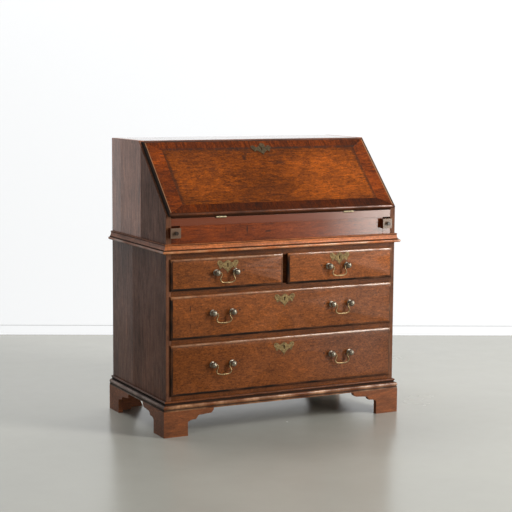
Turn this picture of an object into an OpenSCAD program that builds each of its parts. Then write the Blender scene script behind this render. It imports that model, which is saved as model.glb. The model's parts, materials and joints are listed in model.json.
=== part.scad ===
// Slant-front bureau: a chest of four drawers under a desk section with a sloping fall,
// two slide-out lopers that carry the open fall, a well under the writing bed,
// and a gallery of pigeonholes, small drawers and a cupboard inside.
// +Z is up, the front faces -Y, and the origin is under the middle of the whole object.

/* [Carcase] */
// Width over the side boards
carcase_w = 920; // [900:5:940]
// Depth of the side boards
carcase_d = 500; // [490:5:515]
// Thickness of the side boards
side_t = 20; // [18:0.5:21]
// Open line between boards that meet
seam = 0.2; // [0.1:0.05:0.3]
// Depth from the front edge to the glued joint in each lower side
lower_plank_joint = 300; // [260:10:330]
// Depth from the front edge to the first glued joint in each upper side
upper_plank_joint_a = 222; // [205:1:235]
// Depth from the front edge to the second glued joint in each upper side
upper_plank_joint_b = 411; // [390:1:430]
// Thickness of the back boards
back_t = 12; // [10:1:12]

/* [Heights] */
// Height of the bracket feet
foot_h = 90; // [85:1:95]
// Height of the bottom rail's top above the feet
base_h = 55; // [52:1:58]
// Height of the opening of the lower long drawer
lower_opening_h = 172; // [168:1:176]
// Height of the opening of the upper long drawer
upper_opening_h = 144; // [140:1:148]
// Height of the openings of the two short drawers
short_opening_h = 103; // [101:1:106]
// Thickness of the rails between the drawers
rail_t = 26; // [24:1:28]
// Height from the short drawers' openings to the top of the chest
chest_cap_h = 40; // [38:1:44]
// Height of the desk section under its writing surface
desk_base_h = 104; // [102:1:108]
// Height from the writing surface to the top
desk_rise = 256; // [252:1:260]
// Thickness of the top board
top_t = 20; // [18:1:21]

/* [Fall] */
// Angle of the closed fall above level
fall_angle = 45; // [44.5:0.5:45.5]
// Whole thickness of the fall
fall_t = 20; // [19:0.5:21]
// Thickness of the lip that lies over the side boards
fall_lip_t = 10; // [9:0.5:10.5]
// Distance from the fall's end to the carcase's side
fall_inset = 6; // [4:0.5:8]
// Width of the moulded edge round the fall
fall_edge_w = 9; // [8:0.5:10]
// Width of the cross-banding at the ends
band_side_w = 54; // [48:1:58]
// Width of the cross-banding at the bottom
band_bottom_w = 34; // [30:1:38]
// Width of the cross-banding at the top
band_top_w = 39; // [34:1:42]
// Thickness of the cross-banding
band_t = 1.2; // [1:0.1:1.5]
// Sideways place of the left hinge
left_hinge_x = -252; // [-300:1:-200]
// Sideways place of the right hinge
right_hinge_x = 260; // [200:1:300]
// Length of each hinge
hinge_len = 40; // [36:1:44]
// Radius of the hinge knuckles
knuckle_r = 3.5; // [3.2:0.1:3.7]
// Radius of the hinge pins
hinge_pin_r = 1.5; // [1.3:0.1:1.6]

/* [Lopers] */
// Width of the loper's end block
loper_face_w = 38; // [36:1:39]
// Height of the loper's end block
loper_face_h = 35; // [33:1:36]
// Thickness of the loper's end block, in front of the carcase
loper_face_t = 19; // [16:1:20]
// Width of the loper's bar
loper_bar_w = 30; // [28:1:31]
// Length of the loper's bar
loper_len = 400; // [380:5:420]
// Width of the loper's opening
loper_slot_w = 32; // [32:0.5:33]
// Sideways distance of each end block to the left of its bar
loper_face_shift = 7; // [4:0.5:7]

/* [Drawers] */
// How far the drawer fronts stand forward of the rails
lip_proud = 8; // [7:0.5:9]
// Overlap of the lip on the rails
lip_over = 4; // [3:0.5:5]
// Overlap of the lip on the side boards
lip_over_side = 6; // [5:0.5:7]
// Thickness of a drawer front behind its lip
front_t = 14; // [13:0.5:16]
// Width of the upright between the short drawers
divider_w = 26; // [24:1:28]
// Overlap of the short drawers' lips on the upright
lip_over_divider = 4; // [3:0.5:5]
// Distance of the upright behind the rails' front
divider_back = 12; // [8:1:14]
// Thickness of a drawer's sides and back
box_t = 10; // [9:0.5:12]
// Thickness of a drawer's bottom
box_bottom_t = 8; // [7:0.5:9]
// Depth from the rails' front to the back of a drawer
box_reach = 465; // [450:5:470]
// Depth of the rails
rail_depth = 60; // [50:5:70]

/* [Handles and locks] */
// Distance between the two posts of a handle
post_spacing = 76; // [74:1:80]
// Radius of a post's round head
head_r = 10; // [9:0.5:11]
// Distance from the drawer front to the middle of a post's head
head_reach = 15; // [14:0.5:16]
// Radius of the bail's rod
bail_r = 2.3; // [2.1:0.1:2.5]
// Straight length of the bail's arms
bail_arm = 15; // [12:1:18]
// Clearance of the bail's ends in the heads
bail_fit = 0.05; // [0.03:0.01:0.08]
// Width of a lock's brass plate
plate_w = 82; // [76:1:86]
// Thickness of a lock's brass plate
plate_t = 1.2; // [1:0.1:1.5]

/* [Mouldings and feet] */
// Furthest projection of the waist moulding
waist_proj = 17; // [15:0.5:18]
// Height of the waist moulding
waist_h = 32; // [30:1:34]
// Furthest projection of the base moulding and feet
base_proj = 15; // [14:0.5:16]
// Height of the base moulding
base_moulding_h = 35; // [33:1:37]
// Width of each bracket along the carcase
bracket_w = 191; // [180:1:200]
// Thickness of a bracket
bracket_t = 18; // [16:1:20]

/* [Gallery] */
// Depth from the carcase front to the gallery
gallery_y = 285; // [282:1:290]
// Thickness of the gallery's boards
gallery_t = 8; // [7:0.5:8]
// Height of the openings of the small drawers
small_drawer_h = 68; // [60:1:70]
// Width of the cupboard's opening
cupboard_w = 124; // [110:1:126]
// Height of the cupboard's opening
cupboard_h = 145; // [130:1:146]
// Half the width of the well under the writing bed
well_half_w = 150; // [130:5:160]
// Depth from the carcase front to the back of the well's lid
well_lid_back = 252; // [240:1:260]

/* [Hidden] */
$fn = 48;

// Colours of the woods and metals
oak_side = [0.27, 0.19, 0.13];
oak_front = [0.46, 0.27, 0.15];
oak_fall = [0.5, 0.26, 0.12];
oak_rail = [0.42, 0.22, 0.14];
oak_band = [0.33, 0.18, 0.1];
oak_moulding = [0.45, 0.28, 0.16];
oak_inside = [0.56, 0.41, 0.26];
old_brass = [0.62, 0.52, 0.3];

// Heights from the floor
bottom_rail_top = foot_h + base_h;
lower_top = bottom_rail_top + lower_opening_h;
upper_bottom = lower_top + rail_t;
upper_top = upper_bottom + upper_opening_h;
short_bottom = upper_top + rail_t;
short_top = short_bottom + short_opening_h;
chest_h = short_top + chest_cap_h;
chest_board_t = 12;
writing_h = chest_h + desk_base_h;
overall_h = writing_h + desk_rise;
bed_t = 26;
bed_bottom = writing_h - bed_t;

// Width of the square blocks glued inside the feet
glue_block_w = 45;

// Widths from the middle, and the place of the carcase front on the y axis
half_w = carcase_w / 2;
inner_w = half_w - side_t;
handle_reach = lip_proud + head_reach + head_r;
front_y = (handle_reach - carcase_d) / 2;
back_inner = carcase_d - back_t;

// Sizes of the fall along its slope, measured from the hinge line
sin_f = sin(fall_angle);
cos_f = cos(fall_angle);
fall_gap = 0.3;
fall_start = 0.8;
fall_len = (desk_rise - fall_t * cos_f) / sin_f;
fall_half_w = half_w - fall_inset;
panel_half_w = inner_w - 1;
panel_len = (desk_rise - top_t - 1 - fall_lip_t * cos_f) / sin_f;
seat_drop = fall_lip_t - fall_gap;
band_x = fall_half_w - fall_edge_w;
band_bottom = fall_edge_w;
band_top = fall_len - fall_edge_w;
hinge_leaf_w = 30;
hinge_leaf_t = 1.5;
hinge_leaf_start = knuckle_r + 0.7;

// Openings of the drawers as [low x, high x, low z, high z]
short_left = [-inner_w, -divider_w / 2, short_bottom, short_top];
short_right = [divider_w / 2, inner_w, short_bottom, short_top];
upper_long = [-inner_w, inner_w, upper_bottom, upper_top];
lower_long = [-inner_w, inner_w, bottom_rail_top, lower_top];

// Middles of the handles and locks as [x, z]
short_left_handle = [-236, short_bottom + 54];
short_right_handle = [214, short_bottom + 53];
upper_left_handle = [-249, upper_bottom + 83];
upper_right_handle = [229, upper_bottom + 83];
lower_left_handle = [-249, bottom_rail_top + 98];
lower_right_handle = [229, bottom_rail_top + 98];
short_left_key = [-229, short_bottom + 78];
short_right_key = [221, short_bottom + 83];
upper_key = [-3, upper_bottom + 115];
lower_key = [-4, bottom_rail_top + 138];
fall_key = [2, 292];

// Handles
post_y = -lip_proud - head_reach;
post_neck_r = 4.5;
rose_r = 10.5;
rose_t = 2.5;
shank_r = 2.5;
shank_end = front_t + 5;
nut_w = 12;
nut_t = 3.6;
bail_hold = 3;

// Lock cases, and the slots for their keys
lock_w = 70;
lock_h = 44;
lock_t = 8;
fall_lock_h = 59.5;
key_slot_w = 7;
key_slot_h = 16;

// Lopers
loper_bottom = bed_bottom - 38;
loper_top = loper_bottom + loper_face_h - 2;
loper_inner = inner_w - loper_slot_w;
loper_mid = inner_w - loper_slot_w / 2;
housing_t = 12;
rail_board_t = 22;

// Gallery
gallery_z = writing_h;
gallery_half_w = inner_w - 4;
gallery_top = overall_h - top_t - 6;
gallery_back = back_inner - 8;
shelf_z = gallery_z + gallery_t + small_drawer_h;
cupboard_top = gallery_z + gallery_t + cupboard_h;
side_bay_w = gallery_half_w - gallery_t - cupboard_w / 2 - gallery_t;
hole_w = (side_bay_w - 2 * gallery_t) / 3;
small_w = (side_bay_w - gallery_t) / 2;
bay_x = cupboard_w / 2 + gallery_t;
door_t = 12;
door_pivot_x = -cupboard_w / 2 + door_t / 2;
door_pivot_y = gallery_y + door_t / 2;
door_pin_r = 2;

// ---------- helpers ----------

// Moves what is modelled from the carcase front to the object's frame
module placed() {
    translate([0, front_y, 0]) children();
}

// A board between two corners, drawn in by half an open seam on each face
module board(x0, x1, y0, y1, z0, z1) {
    s = seam / 2;
    translate([x0 + s, y0 + s, z0 + s])
        cube([x1 - x0 - seam, y1 - y0 - seam, z1 - z0 - seam]);
}

// Round rods along each axis
module rod_x(x0, x1, y, z, r) {
    translate([x0, y, z]) rotate([0, 90, 0]) cylinder(r = r, h = x1 - x0);
}

module rod_y(x, y0, y1, z, r) {
    translate([x, y0, z]) rotate([-90, 0, 0]) cylinder(r = r, h = y1 - y0);
}

module rod_z(x, y, z0, z1, r) {
    translate([x, y, z0]) cylinder(r = r, h = z1 - z0);
}

// Points on an arc
function arc(cx, cy, r, from, to, steps = 8) =
    [for (i = [0:steps]) let (a = from + (to - from) * i / steps) [cx + r * cos(a), cy + r * sin(a)]];

// Points on a quarter of an ellipse that leaves [x0, y0] upright and reaches [x1, y1] level
function quarter_cove(x0, y0, x1, y1, steps = 8) =
    [for (i = [0:steps]) let (a = 90 * i / steps) [x0 + (x1 - x0) * (1 - cos(a)), y0 + (y1 - y0) * sin(a)]];

// Points on a soft S between two points
function soft_step(x0, y0, x1, y1, steps = 6) =
    [for (i = [0:steps]) [x0 + (x1 - x0) * i / steps, y0 + (y1 - y0) * (1 - cos(180 * i / steps)) / 2]];

// Points on a quarter of an ellipse that leaves [x0, y0] level and reaches [x1, y1] upright
function quarter_rise(x0, y0, x1, y1, steps = 8) =
    [for (i = [0:steps]) let (a = 90 * i / steps) [x0 + (x1 - x0) * sin(a), y0 + (y1 - y0) * (1 - cos(a))]];

// A frame on the closed fall: x across, y up the slope from the hinge line, z outwards
module on_fall() {
    translate([0, front_y, writing_h]) rotate([fall_angle, 0, 0]) children();
}

// A run along the front of a side-view outline given as [projection, height]
module front_run(profile) {
    translate([-half_w - 30, 0, 0]) rotate([90, 0, 90])
        linear_extrude(carcase_w + 60) polygon([for (p = profile) [-p[0], p[1]]]);
}

// A run along the right side of the same outline
module side_run(profile) {
    translate([half_w, carcase_d, 0]) rotate([90, 0, 0])
        linear_extrude(carcase_d + 30) polygon(profile);
}

// Three mitred lengths round the front and sides
module mitred(profile, reach) {
    gap = seam / 2;
    intersection() {
        front_run(profile);
        linear_extrude(overall_h) polygon([
            [-half_w, 0], [half_w, 0], [half_w + reach, -reach], [-half_w - reach, -reach]
        ]);
    }
    for (side = [0, 1]) mirror([side, 0, 0]) intersection() {
        side_run(profile);
        linear_extrude(overall_h) polygon([
            [half_w, gap * 2], [half_w + reach, gap * 2 - reach], [half_w + reach, carcase_d],
            [half_w, carcase_d]
        ]);
    }
}

// ---------- lower carcase ----------

module chest_side(side) {
    color(oak_side) placed() mirror([side, 0, 0]) {
        translate([-half_w, 0, foot_h]) cube([side_t, lower_plank_joint, chest_h - foot_h]);
        translate([-half_w, lower_plank_joint + seam, foot_h])
            cube([side_t, carcase_d - lower_plank_joint - seam, chest_h - foot_h]);
    }
}

module chest_bottom() {
    color(oak_inside) placed() {
        board(-inner_w, inner_w, 0, carcase_d / 2, foot_h + 10, bottom_rail_top - rail_t);
        board(-inner_w, inner_w, carcase_d / 2, back_inner, foot_h + 10, bottom_rail_top - rail_t);
    }
}

module drawer_rails() {
    color(oak_front) placed() {
        for (top = [bottom_rail_top, upper_bottom, short_bottom])
            board(-inner_w, inner_w, 0, rail_depth, top - rail_t, top);
        board(-inner_w, inner_w, 0, rail_depth, short_top, chest_h - chest_board_t);
        board(-divider_w / 2, divider_w / 2, divider_back, rail_depth, short_bottom, short_top);
    }
}

module drawer_runners() {
    runner_w = 30;
    color(oak_inside) placed() {
        for (top = [bottom_rail_top, upper_bottom, short_bottom]) for (side = [0, 1])
            mirror([side, 0, 0])
                board(inner_w - runner_w, inner_w, rail_depth, back_inner, top - 20, top);
        board(-40, 40, rail_depth, back_inner, short_bottom - 20, short_bottom);
        board(2 - divider_w / 2, divider_w / 2 - 2, rail_depth, back_inner, short_bottom, short_bottom + 40);
    }
}

module chest_top_board() {
    color(oak_inside) placed()
        board(-inner_w, inner_w, 0, back_inner, chest_h - chest_board_t, chest_h);
}

module upright_boards(count, z0, z1) {
    w = 2 * inner_w / count;
    for (i = [0:count - 1])
        board(-inner_w + i * w, -inner_w + (i + 1) * w, back_inner, carcase_d, z0, z1);
}

module chest_back_boards() {
    color(oak_inside) placed() upright_boards(4, foot_h, chest_h);
}

// ---------- mouldings and feet ----------

// Fillet, hollow, fillet and round bead, from the top down
function waist_profile() =
    let (top = chest_h + waist_h / 2, low = chest_h - waist_h / 2, bead_r = 5,
        fillet_x = waist_proj - 6, hollow_x = fillet_x - 5, fillet_z = low + 12.5, upper_z = top - 3.5)
    concat(
        [[0.1, low], [waist_proj - bead_r, low]],
        arc(waist_proj - bead_r, low + bead_r, bead_r, -90, 90, 12),
        [[fillet_x, low + 2 * bead_r]],
        quarter_rise(fillet_x, fillet_z, hollow_x, upper_z),
        [[hollow_x + 1, upper_z], [hollow_x + 1, top], [0.1, top]]
    );

module waist_moulding() {
    color(oak_moulding) placed() mitred(waist_profile(), waist_proj + 3);
}

// Small bead, groove, large rounded member and plain face, from the top down
function base_profile() =
    let (low = foot_h + seam, top = foot_h + base_moulding_h, p = base_proj)
    concat(
        [[0.1, low], [p - 1, low], [p - 1, low + 6], [p - 2.5, low + 7.5]],
        arc(p - 7.5, low + 14.5, 7.5, -50, 90, 12),
        [[p - 9.5, low + 22]],
        [[5, low + 24.5], [5, top - 7]],
        arc(4.5, top - 3.5, 3.5, -80, 90, 8),
        [[0.1, top]]
    );

module base_moulding() {
    color(oak_moulding) placed() mitred(base_profile(), base_proj + 3);
}

// Outline of a bracket: u runs inwards from the corner, z up
function bracket_outline() =
    concat(
        [[0, 0], [bracket_w * 0.479, 0]],
        quarter_cove(bracket_w * 0.479, foot_h * 0.51, bracket_w * 0.623, foot_h * 0.625),
        soft_step(bracket_w * 0.63, foot_h * 0.62, bracket_w * 0.7, foot_h * 0.775),
        soft_step(bracket_w * 0.72, foot_h * 0.78, bracket_w * 0.9, foot_h * 0.805),
        quarter_rise(bracket_w * 0.915, foot_h * 0.81, bracket_w, foot_h),
        [[0, foot_h]]
    );

// The left foot at the front: two brackets mitred at the corner and a glue block
module front_foot() {
    x0 = -half_w - base_proj;
    y0 = -base_proj;
    reach = bracket_w + 5;
    color(oak_moulding) placed() {
        intersection() {
            translate([x0, y0 + bracket_t, 0]) rotate([90, 0, 0])
                linear_extrude(bracket_t) polygon(bracket_outline());
            linear_extrude(foot_h) polygon([
                [x0, y0], [x0 + reach, y0], [x0 + reach, y0 + bracket_t], [x0 + bracket_t, y0 + bracket_t]
            ]);
        }
        intersection() {
            translate([x0, y0, 0]) rotate([90, 0, 90])
                linear_extrude(bracket_t) polygon(bracket_outline());
            linear_extrude(foot_h) polygon([
                [x0, y0 + seam * 2], [x0 + bracket_t, y0 + bracket_t + seam * 2],
                [x0 + bracket_t, y0 + reach], [x0, y0 + reach]
            ]);
        }
        board(x0 + bracket_t, x0 + bracket_t + glue_block_w,
            y0 + bracket_t, y0 + bracket_t + glue_block_w, 2, foot_h);
    }
}

// The left foot at the back: a side bracket, a plain back bracket with a slanted end, and a glue block
module rear_foot() {
    x0 = -half_w - base_proj;
    back_bracket_w = 110;
    color(oak_moulding) placed() {
        translate([x0, carcase_d, 0]) mirror([0, 1, 0]) rotate([90, 0, 90])
            linear_extrude(bracket_t) polygon(bracket_outline());
        translate([x0 + bracket_t, carcase_d - bracket_t, 0]) difference() {
            translate([seam, 0, 0]) cube([back_bracket_w, bracket_t - 2, foot_h]);
            translate([back_bracket_w, -1, -1]) rotate([0, -25, 0]) cube([80, bracket_t, foot_h * 2]);
        }
        board(x0 + bracket_t, x0 + bracket_t + glue_block_w,
            carcase_d - bracket_t - glue_block_w, carcase_d - bracket_t, 2, foot_h);
    }
}

// ---------- upper carcase ----------

// Side view of an upper side between two depths
module desk_plank(y0, y1) {
    low = chest_h + seam;
    slope_low = writing_h + seat_drop / cos_f;
    function slope_z(y) = slope_low + y * sin_f / cos_f;
    z0 = slope_z(y0);
    y_top = (overall_h - slope_low) * cos_f / sin_f;
    outline = y0 < y_top
        ? concat([[y0, low], [y1, low]],
            y1 < y_top ? [[y1, slope_z(y1)]] : [[y1, overall_h], [y_top, overall_h]],
            [[y0, z0]])
        : [[y0, low], [y1, low], [y1, overall_h], [y0, overall_h]];
    rotate([90, 0, 90]) linear_extrude(side_t) polygon(outline);
}

module desk_side(side) {
    color(oak_side) placed() mirror([side, 0, 0]) translate([-half_w, 0, 0]) {
        desk_plank(0, upper_plank_joint_a);
        desk_plank(upper_plank_joint_a + seam, upper_plank_joint_b);
        desk_plank(upper_plank_joint_b + seam, carcase_d);
    }
}

module desk_back_boards() {
    color(oak_inside) placed() upright_boards(4, chest_h, overall_h - top_t);
}

module desk_top_board() {
    y_low = (desk_rise - top_t) * cos_f / sin_f - seat_drop / sin_f;
    y_high = desk_rise * cos_f / sin_f - seat_drop / sin_f;
    color(oak_side) placed() translate([-inner_w + seam / 2, 0, 0]) rotate([90, 0, 90])
        linear_extrude(2 * inner_w - seam) polygon([
            [y_low, overall_h - top_t], [carcase_d, overall_h - top_t],
            [carcase_d, overall_h], [y_high, overall_h]
        ]);
}

module hinge_recess(x) {
    translate([x - hinge_len / 2 - 0.4, -1, writing_h - hinge_leaf_t - 0.2])
        cube([hinge_len + 0.8, hinge_leaf_w + 1.4, 5]);
    rod_x(x - hinge_len / 2 - 0.4, x + hinge_len / 2 + 0.4, 0, writing_h, knuckle_r + 0.5);
}

module writing_bed() {
    ledge = 10;
    front_w = 62;
    color(oak_inside) placed() {
        difference() {
            board(-inner_w, inner_w, 0, front_w, bed_bottom, writing_h);
            hinge_recess(left_hinge_x);
            hinge_recess(right_hinge_x);
        }
        for (side = [0, 1]) mirror([side, 0, 0]) {
            board(well_half_w, inner_w, front_w, back_inner, bed_bottom, writing_h);
            board(well_half_w - ledge, well_half_w, front_w, back_inner, bed_bottom, writing_h - 9);
        }
    }
}

module well_walls() {
    wall_t = 12;
    back = well_lid_back + 10;
    color(oak_inside) placed() {
        for (side = [0, 1]) mirror([side, 0, 0])
            board(well_half_w, well_half_w + wall_t, rail_board_t, back, chest_h, bed_bottom);
        board(-well_half_w, well_half_w, back - wall_t, back, chest_h, bed_bottom);
    }
}

module well_slide() {
    color(oak_fall) placed() difference() {
        translate([-well_half_w + 1, 62.5, writing_h - 8.6])
            cube([2 * well_half_w - 2, well_lid_back - 62.5, 8]);
        rod_x(-30, 30, 85, writing_h + 9, 12);
    }
}

// ---------- loper section ----------

module loper_rail() {
    color(oak_rail) placed()
        board(-loper_inner, loper_inner, 0, rail_board_t, chest_h, bed_bottom);
}

module loper_housings() {
    color(oak_rail) placed() for (side = [0, 1]) mirror([side, 0, 0]) {
        board(loper_inner, inner_w, 0, rail_board_t, chest_h, loper_bottom);
        board(loper_inner, inner_w, rail_board_t, back_inner, loper_bottom - housing_t, loper_bottom);
        board(loper_inner - housing_t, loper_inner, rail_board_t, back_inner, chest_h, bed_bottom);
    }
}

// A loper: bar with a raised bearing strip, end block, and turned knob in the middle of the block
module loper(side) {
    strip_start = 25;
    strip_top = bed_bottom - 0.4;
    knob_x = -loper_mid + (side == 0 ? -loper_face_shift : loper_face_shift);
    knob_y = -loper_face_t;
    knob_z = loper_bottom - 2 + loper_face_h / 2;
    color(oak_rail) placed() mirror([side, 0, 0]) {
        translate([-loper_mid - loper_bar_w / 2, 0, loper_bottom + 0.4])
            cube([loper_bar_w, loper_len, loper_top - loper_bottom - 0.4]);
        translate([-loper_mid - loper_bar_w / 2 + 1, strip_start, loper_top + seam])
            cube([loper_bar_w - 2, loper_len - strip_start, strip_top - loper_top - seam]);
        difference() {
            translate([knob_x - loper_face_w / 2, -loper_face_t, loper_bottom - 2])
                cube([loper_face_w, loper_face_t - 0.3, loper_face_h]);
            rod_y(knob_x, knob_y - 1, -4, knob_z, 3.1);
        }
        rod_y(knob_x, knob_y - 4, -4.5, knob_z, 3);
        rod_y(knob_x, knob_y - 10, knob_y - 4, knob_z, 6.5);
    }
}

// ---------- fall ----------

module band_frame(depth) {
    translate([0, 0, fall_t - depth]) linear_extrude(depth + 1) difference() {
        translate([-band_x, band_bottom]) square([2 * band_x, band_top - band_bottom]);
        translate([-band_x + band_side_w, band_bottom + band_bottom_w])
            square([2 * (band_x - band_side_w), band_top - band_bottom - band_bottom_w - band_top_w]);
    }
}

// A slot for the key, from the front of a board through to the lock behind it
module key_slot_on_fall() {
    translate([fall_key[0] - key_slot_w / 2, fall_key[1] - key_slot_h / 2, 0])
        cube([key_slot_w, key_slot_h, fall_t + 1]);
}

module fall_board() {
    color(oak_fall) on_fall() difference() {
        union() {
            translate([-panel_half_w, fall_start, 0])
                cube([2 * panel_half_w, panel_len - fall_start, fall_lip_t]);
            translate([-fall_half_w, fall_start, fall_lip_t])
                cube([2 * fall_half_w, fall_len - fall_start, fall_t - fall_lip_t]);
        }
        band_frame(band_t + 0.1);
        for (x = [left_hinge_x, right_hinge_x]) {
            rod_x(x - hinge_len / 2 - 0.4, x + hinge_len / 2 + 0.4, 0, 0, knuckle_r + 0.5);
            translate([x - hinge_len / 2 - 0.4, -1, -1])
                cube([hinge_len + 0.8, hinge_leaf_w + 1.4, 1 + hinge_leaf_t + 0.2]);
        }
        translate([fall_key[0] - lock_w / 2 - 0.3, panel_len - fall_lock_h - 0.8, -1])
            cube([lock_w + 0.6, fall_lock_h + 10, lock_t + 1.3]);
        key_slot_on_fall();
    }
}

// Four mitred strips let into the face
module fall_crossbanding() {
    x1 = band_x - 0.1;
    x0 = band_x - band_side_w + 0.1;
    y0 = band_bottom + 0.1;
    y1 = band_bottom + band_bottom_w - 0.1;
    y2 = band_top - band_top_w + 0.1;
    y3 = band_top - 0.1;
    g = seam;
    color(oak_band) on_fall() difference() {
        translate([0, 0, fall_t - band_t]) linear_extrude(band_t) {
            polygon([[-x1 + g, y0], [x1 - g, y0], [x0 - g, y1], [-x0 + g, y1]]);
            polygon([[-x1 + g, y3], [x1 - g, y3], [x0 - g, y2], [-x0 + g, y2]]);
            polygon([[x1, y0 + g], [x1, y3 - g], [x0, y2 - g], [x0, y1 + g]]);
            polygon([[-x1, y0 + g], [-x1, y3 - g], [-x0, y2 - g], [-x0, y1 + g]]);
        }
        key_slot_on_fall();
    }
}

// One leaf of a hinge lying along y at z below 0, with knuckles between the given fractions
module hinge_leaf(x, spans, bore) {
    difference() {
        union() {
            translate([x - hinge_len / 2, hinge_leaf_start, -hinge_leaf_t - 0.05])
                cube([hinge_len, hinge_leaf_w - hinge_leaf_start, hinge_leaf_t]);
            for (s = spans) {
                a = x - hinge_len / 2 + s[0] * hinge_len;
                b = x - hinge_len / 2 + s[1] * hinge_len;
                rod_x(a, b, 0, 0, knuckle_r);
                translate([a, 0, -hinge_leaf_t - 0.05]) cube([b - a, hinge_leaf_start + 1, hinge_leaf_t]);
            }
        }
        rod_x(x - hinge_len, x + hinge_len, 0, 0, bore);
        for (k = [-1, 1]) rod_z(x + k * hinge_len * 0.3, hinge_leaf_w - 9, -5, 5, 1.6);
    }
}

module fall_hinge_bed_leaves() {
    color(old_brass) placed() translate([0, 0, writing_h])
        for (x = [left_hinge_x, right_hinge_x])
            hinge_leaf(x, [[0, 0.32], [0.68, 1]], hinge_pin_r + 0.02);
}

module fall_hinge_fall_leaves() {
    color(old_brass) on_fall() mirror([0, 0, 1])
        for (x = [left_hinge_x, right_hinge_x]) hinge_leaf(x, [[0.335, 0.665]], hinge_pin_r + 0.06);
}

module fall_hinge_pins() {
    color(old_brass) placed()
        for (x = [left_hinge_x, right_hinge_x])
            rod_x(x - hinge_len / 2, x + hinge_len / 2, 0, writing_h, hinge_pin_r);
}

// Keyhole: a round hole over a slot
module keyhole_2d() {
    translate([0, 3.5]) circle(r = 3.1);
    translate([-1.8, -7]) square([3.6, 10]);
}

// Right half of the outline of a lock plate about its keyhole, from the bottom point to the top crest
function plate_edge(w) = [
    [0, -28.5], [3, -22], [8.5, -16], [13, -11.5], [18, -8.5], [21, -4], [24, -8], [w - 14, -11.5],
    [w - 10, -12], [w - 8, -6], [w - 5.5, 0], [w - 1.5, 4], [w, 10.5], [w - 3.5, 16.5],
    [w - 10, 18], [w - 16.5, 15], [20, 9], [13, 9], [9.5, 13.5], [5, 15.5], [0, 19]
];

// Pierced brass plate of a lock: two wings with points, a crest, and a long point at the bottom
module plate_2d() {
    w = plate_w / 2;
    difference() {
        for (k = [-1, 1]) scale([k, 1]) polygon(concat(plate_edge(w), [[-0.5, 19], [-0.5, -28.5]]));
        for (k = [-1, 1]) {
            translate([k * (w - 7), 10]) circle(r = 1.9);
            translate([k * (w - 14), 2.5]) circle(r = 1.7);
            translate([k * 16.5, 0]) circle(r = 1.6);
            translate([k * (w - 11), -5]) circle(r = 1.1);
            translate([k * 7, -12]) circle(r = 1.5);
        }
        translate([0, -21]) circle(r = 1.3);
        keyhole_2d();
    }
}

// Lock plate of the fall, with the round cover of its keyhole turned aside
module fall_escutcheon() {
    cover_r = 11;
    color(old_brass) on_fall() translate([fall_key[0], fall_key[1], fall_t + 0.05]) {
        linear_extrude(plate_t) plate_2d();
        translate([8, 17, 0]) cylinder(r = cover_r, h = 2 * plate_t);
    }
}

// Lock case with its selvedge, its bolt drawn back, and the hole for its key at the given height
module lock_case(w, h, key_h) {
    difference() {
        translate([-w / 2, 0, 0]) cube([w, h, lock_t]);
        translate([-11, h - 8, 2]) cube([22, 9, 4.4]);
        translate([0, key_h, -1]) cylinder(r = 2.6, h = lock_t + 2);
    }
    translate([-10, h - 7.5, 2.3]) cube([20, 6, 3.8]);
}

module fall_lock() {
    low = panel_len - fall_lock_h - 0.5;
    color(old_brass) on_fall() translate([fall_key[0], low, 0.1])
        lock_case(lock_w, fall_lock_h, fall_key[1] - low);
}

// ---------- drawers ----------

// How far the lip reaches past each edge of an opening
function lip_left(d) = d[0] > 0 ? lip_over_divider : lip_over_side;
function lip_right(d) = d[1] < 0 ? lip_over_divider : lip_over_side;

module drawer_front(d, handles, key) {
    fit = 1;
    color(oak_front) placed() difference() {
        union() {
            translate([d[0] - lip_left(d), -lip_proud, d[2] - lip_over])
                cube([
                    d[1] - d[0] + lip_left(d) + lip_right(d), lip_proud - 0.3, d[3] - d[2] + 2 * lip_over
                ]);
            translate([d[0] + fit, -1, d[2] + fit])
                cube([d[1] - d[0] - 2 * fit, front_t + 1, d[3] - d[2] - 2 * fit - 1]);
        }
        for (h = handles) for (k = [-1, 1])
            rod_y(h[0] + k * post_spacing / 2, -lip_proud - 1, front_t + 1, h[1], shank_r + 0.1);
        translate([key[0] - lock_w / 2 - 0.3, front_t - lock_t - 0.5, d[3] - lock_h - 1.3])
            cube([lock_w + 0.6, lock_t + 2, lock_h + 2]);
        translate([key[0] - key_slot_w / 2, -lip_proud - 1, key[1] - key_slot_h / 2])
            cube([key_slot_w, front_t + lip_proud, key_slot_h]);
    }
}

module drawer_box(d) {
    fit = 2.5;
    x0 = d[0] + fit;
    x1 = d[1] - fit;
    z0 = d[2] + 0.8;
    z1 = d[3] - 4;
    color(oak_inside) placed() {
        board(x0, x0 + box_t, front_t, box_reach, z0, z1);
        board(x1 - box_t, x1, front_t, box_reach, z0, z1);
        board(x0 + box_t, x1 - box_t, box_reach - box_t, box_reach, z0, z1 - 6);
        board(x0 + box_t, x1 - box_t, front_t, box_reach - box_t, z0, z0 + box_bottom_t);
    }
}

// A post at x = 0 with its bore to the right: rose, neck and round head, then shank and nut
module handle_post() {
    bore_end = head_r + 2;
    difference() {
        union() {
            rod_y(0, -lip_proud - rose_t, -lip_proud - 0.05, 0, rose_r);
            rod_y(0, post_y, -lip_proud - 2, 0, post_neck_r);
            rod_y(0, -lip_proud - 1, shank_end, 0, shank_r);
            translate([0, post_y, 0]) rotate([0, 0, -90]) sphere(r = head_r);
        }
        rod_x(-bail_hold - 1, bore_end, post_y, 0, bail_r + bail_fit);
    }
    difference() {
        translate([-nut_w / 2, front_t + seam, -nut_w / 2]) cube([nut_w, nut_t, nut_w]);
        rod_y(0, front_t, shank_end + 1, 0, shank_r + 0.05);
    }
}

module handle_posts(handles) {
    color(old_brass) placed() for (h = handles) translate([h[0], 0, h[1]]) for (side = [0, 1])
        mirror([side, 0, 0]) translate([-post_spacing / 2, 0, 0]) handle_post();
}

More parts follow.
